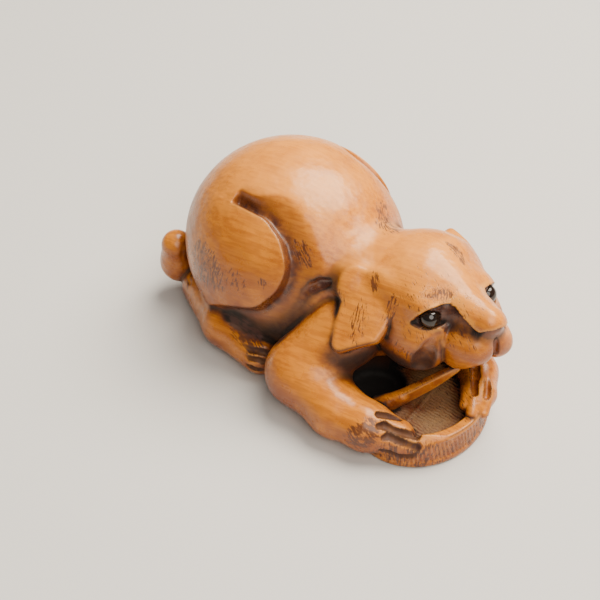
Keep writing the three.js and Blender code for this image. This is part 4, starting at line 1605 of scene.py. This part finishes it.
        # Stain and painted shade in the armpit and under the cheek.
        stain_and_shade = np.maximum(stain_and_shade, ramp(-body.armpit.distance(p), -0.9, 0.1))
        stain_and_shade = np.maximum(stain_and_shade, ramp(-self.carving.under_cheek.distance(p), -1.9, 0.2) * 0.9)
        # Stain and painted shade round the eyes, under the edge of the brows.
        q = head.level(head.local(p))
        skin = head.skin(q)
        sunk = head.brow_edge.depth_at(q[:, 0], q[:, 2]) * (np.abs(skin) < 1.8) * (skin < -0.1)
        stain_and_shade = np.maximum(stain_and_shade, ramp(sunk, 0.15, 0.5) * (1.0 - 0.45 * ramp(q[:, 0], 8.2, 9.6)))
        # Stain and painted shade in the folds of the cheeks, more at their feet.
        fold = -head.fold(q)
        stain_and_shade = stain_and_shade + ramp(fold, -0.5, 0.0) * ramp(-q[:, 2], 1.5, 4.5) * 0.4
        return np.maximum(stain_and_shade, ramp(fold, -0.8, 0.0) * ramp(-q[:, 2], -1.0, 2.6) * 0.95)

    def strokes(self, p: Points, normals: Points) -> tuple[Points, Values]:
        """Lay every patch of strokes, the strongest on top.

        Args:
            p: The vertices in millimetres.
            normals: Their outward directions.

        Returns:
            The places on the strokes, and how strong they are.
        """
        places, strength = np.zeros_like(p), np.zeros(len(p))
        for number, patch in enumerate(PATCHES):
            across, along, weight = patch.lay(p, normals)
            over = weight > strength
            places[over] = np.stack([across, along, np.full(len(p), 7.0 * number)], 1)[over]
            strength = np.maximum(strength, weight)
        return places, strength

    def dress(self, piece: bpy.types.Object, finish: bpy.types.Material) -> None:
        """Give the carving its finish and its place in the frame.

        Args:
            piece: The carving.
            finish: Its material.
        """
        piece.data.materials.append(finish)
        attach(piece, "root")
        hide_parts("puppy_on_sandal")


@dataclass(frozen=True)
class InlaidEye:
    """A turned bead of dark horn in its bed."""

    node: str
    name: str
    rings: int = 24
    segments: int = 48
    play: float = 0.01

    def build(self) -> bpy.types.Object:
        """Turn the bead to fill its node's box.

        Returns:
            The piece.
        """
        low, high = (np.asarray(corner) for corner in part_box(self.node))
        centre, radius = (low + high) / 2, float((high - low).min()) / 2 - self.play * MM
        rise = np.linspace(0.0, math.pi, self.rings + 1)[1:-1]
        turn = np.linspace(0.0, 2 * math.pi, self.segments, endpoint=False)
        ring = [
            (math.sin(a) * math.cos(b), math.sin(a) * math.sin(b), math.cos(a)) for a in rise for b in turn
        ]
        vertices = centre + radius * np.array([(0.0, 0.0, 1.0), *ring, (0.0, 0.0, -1.0)])
        last, foot = len(vertices) - 1, 1 + (self.rings - 2) * self.segments
        faces: list[tuple[int, ...]] = []
        for s in range(self.segments):
            t = (s + 1) % self.segments
            faces.append((0, 1 + s, 1 + t))
            for a in range(1, foot, self.segments):
                b = a + self.segments
                faces.append((a + s, b + s, b + t, a + t))
            faces.append((foot + s, last, foot + t))
        return mesh_object(self.name, vertices, faces)

    def dress(self, piece: bpy.types.Object, finish: bpy.types.Material) -> None:
        """Give the bead its finish and its place in the frame.

        Args:
            piece: The bead.
            finish: Its material.
        """
        piece.data.materials.append(finish)
        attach(piece, "root")
        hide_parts(self.node)


# --- studio

def look_at(thing: bpy.types.Object, aim: Vector, azimuth: float, elevation: float, distance: float) -> None:
    """Put a lamp or the camera where it looks at a point.

    Args:
        thing: The object to place.
        aim: The point, in metres.
        azimuth: Degrees round from the front, which looks along +Y.
        elevation: Degrees above the floor.
        distance: How far away it stands, in metres.
    """
    a, e = math.radians(azimuth), math.radians(elevation)
    back = Vector((math.sin(a) * math.cos(e), -math.cos(a) * math.cos(e), math.sin(e)))
    thing.location = aim + back * distance
    thing.rotation_mode = "QUATERNION"
    thing.rotation_quaternion = (-back).to_track_quat("-Z", "Y")


@dataclass(frozen=True)
class Lamp:
    """A soft area light aimed at the carving."""

    name: str
    azimuth: float
    elevation: float
    distance: float
    size: float
    power: float
    colour: Place = (1.0, 1.0, 1.0)

    def build(self, aim: Vector) -> None:
        """Hang the lamp.

        Args:
            aim: The point it looks at, in metres.
        """
        light = bpy.data.lights.new(self.name, "AREA")
        light.shape = "DISK"
        light.size = self.size
        light.energy = self.power
        light.color = self.colour
        look_at(new_object(self.name, light), aim, self.azimuth, self.elevation, self.distance)


@dataclass(frozen=True)
class Studio:
    """A pale floor, soft light and the camera."""

    shift: tuple[float, float, float]
    aim: Place = (0.0, 0.0, 8.0)
    azimuth: float = 38.0
    elevation: float = 42.0
    distance: float = 0.2
    lens: float = 87.6
    sensor: float = 36.0
    clip_start: float = 0.01
    room_colour: Place = (1.0, 0.98, 0.95)
    room_light: float = 0.17
    floor_size: float = 3.0
    floor_colour: Place = (0.62, 0.61, 0.58)
    lamps: tuple[Lamp, ...] = (
        Lamp("key", 160.0, 62.0, 0.45, 0.42, 6.4, (1.0, 0.91, 0.79)),
        Lamp("fill", 58.0, 44.0, 0.6, 0.5, 3.0, (1.0, 0.93, 0.84)),
    )

    def build(self) -> None:
        """Set up everything round the object."""
        aim = Vector([(a + s) * MM for a, s in zip(self.aim, self.shift)])
        self.build_floor()
        for lamp in self.lamps:
            lamp.build(aim)
        world = bpy.data.worlds.new("soft room")
        world.use_nodes = True
        world.node_tree.nodes["Background"].inputs["Color"].default_value = (*self.room_colour, 1.0)
        world.node_tree.nodes["Background"].inputs["Strength"].default_value = self.room_light
        bpy.context.scene.world = world
        camera = bpy.data.cameras.new("camera")
        camera.lens = self.lens
        camera.sensor_width = self.sensor
        camera.clip_start = self.clip_start
        holder = new_object("camera", camera)
        look_at(holder, aim, self.azimuth, self.elevation, self.distance)
        bpy.context.scene.camera = holder

    def build_floor(self) -> None:
        """Lay the floor."""
        half = self.floor_size / 2
        corners = np.array([(-half, -half, 0), (half, -half, 0), (half, half, 0), (-half, half, 0)])
        floor = mesh_object("floor", corners, [(0, 1, 2, 3)])
        paint = bpy.data.materials.new("pale floor")
        paint.use_nodes = True
        shader = paint.node_tree.nodes["Principled BSDF"]
        shader.inputs["Base Color"].default_value = (*self.floor_colour, 1.0)
        shader.inputs["Roughness"].default_value = 0.75
        floor.data.materials.append(paint)


def main() -> None:
    """Build every piece and the studio, and note the sizes."""
    logging.basicConfig(level=logging.INFO, format="%(name)s: %(message)s")
    carving = Carving()
    low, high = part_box("eye_right")
    shift = np.asarray((low + high) / 2) / MM - carving.head.eye_place(-1)
    wood = Boxwood().material()
    horn = DarkHorn().material()
    puppy = CarvedPuppy(carving, shift)
    piece = puppy.build()
    puppy.dress(piece, wood)
    LOG.info("carving: %d vertices, %d faces", len(piece.data.vertices), len(piece.data.polygons))
    for eye in (InlaidEye("eye_right", "horn_eye_right"), InlaidEye("eye_left", "horn_eye_left")):
        bead = eye.build()
        eye.dress(bead, horn)
        LOG.info("%s: %d vertices", bead.name, len(bead.data.vertices))
    Studio(tuple(shift)).build()
    LOG.info("studio ready")


if __name__ == "__main__":
    main()
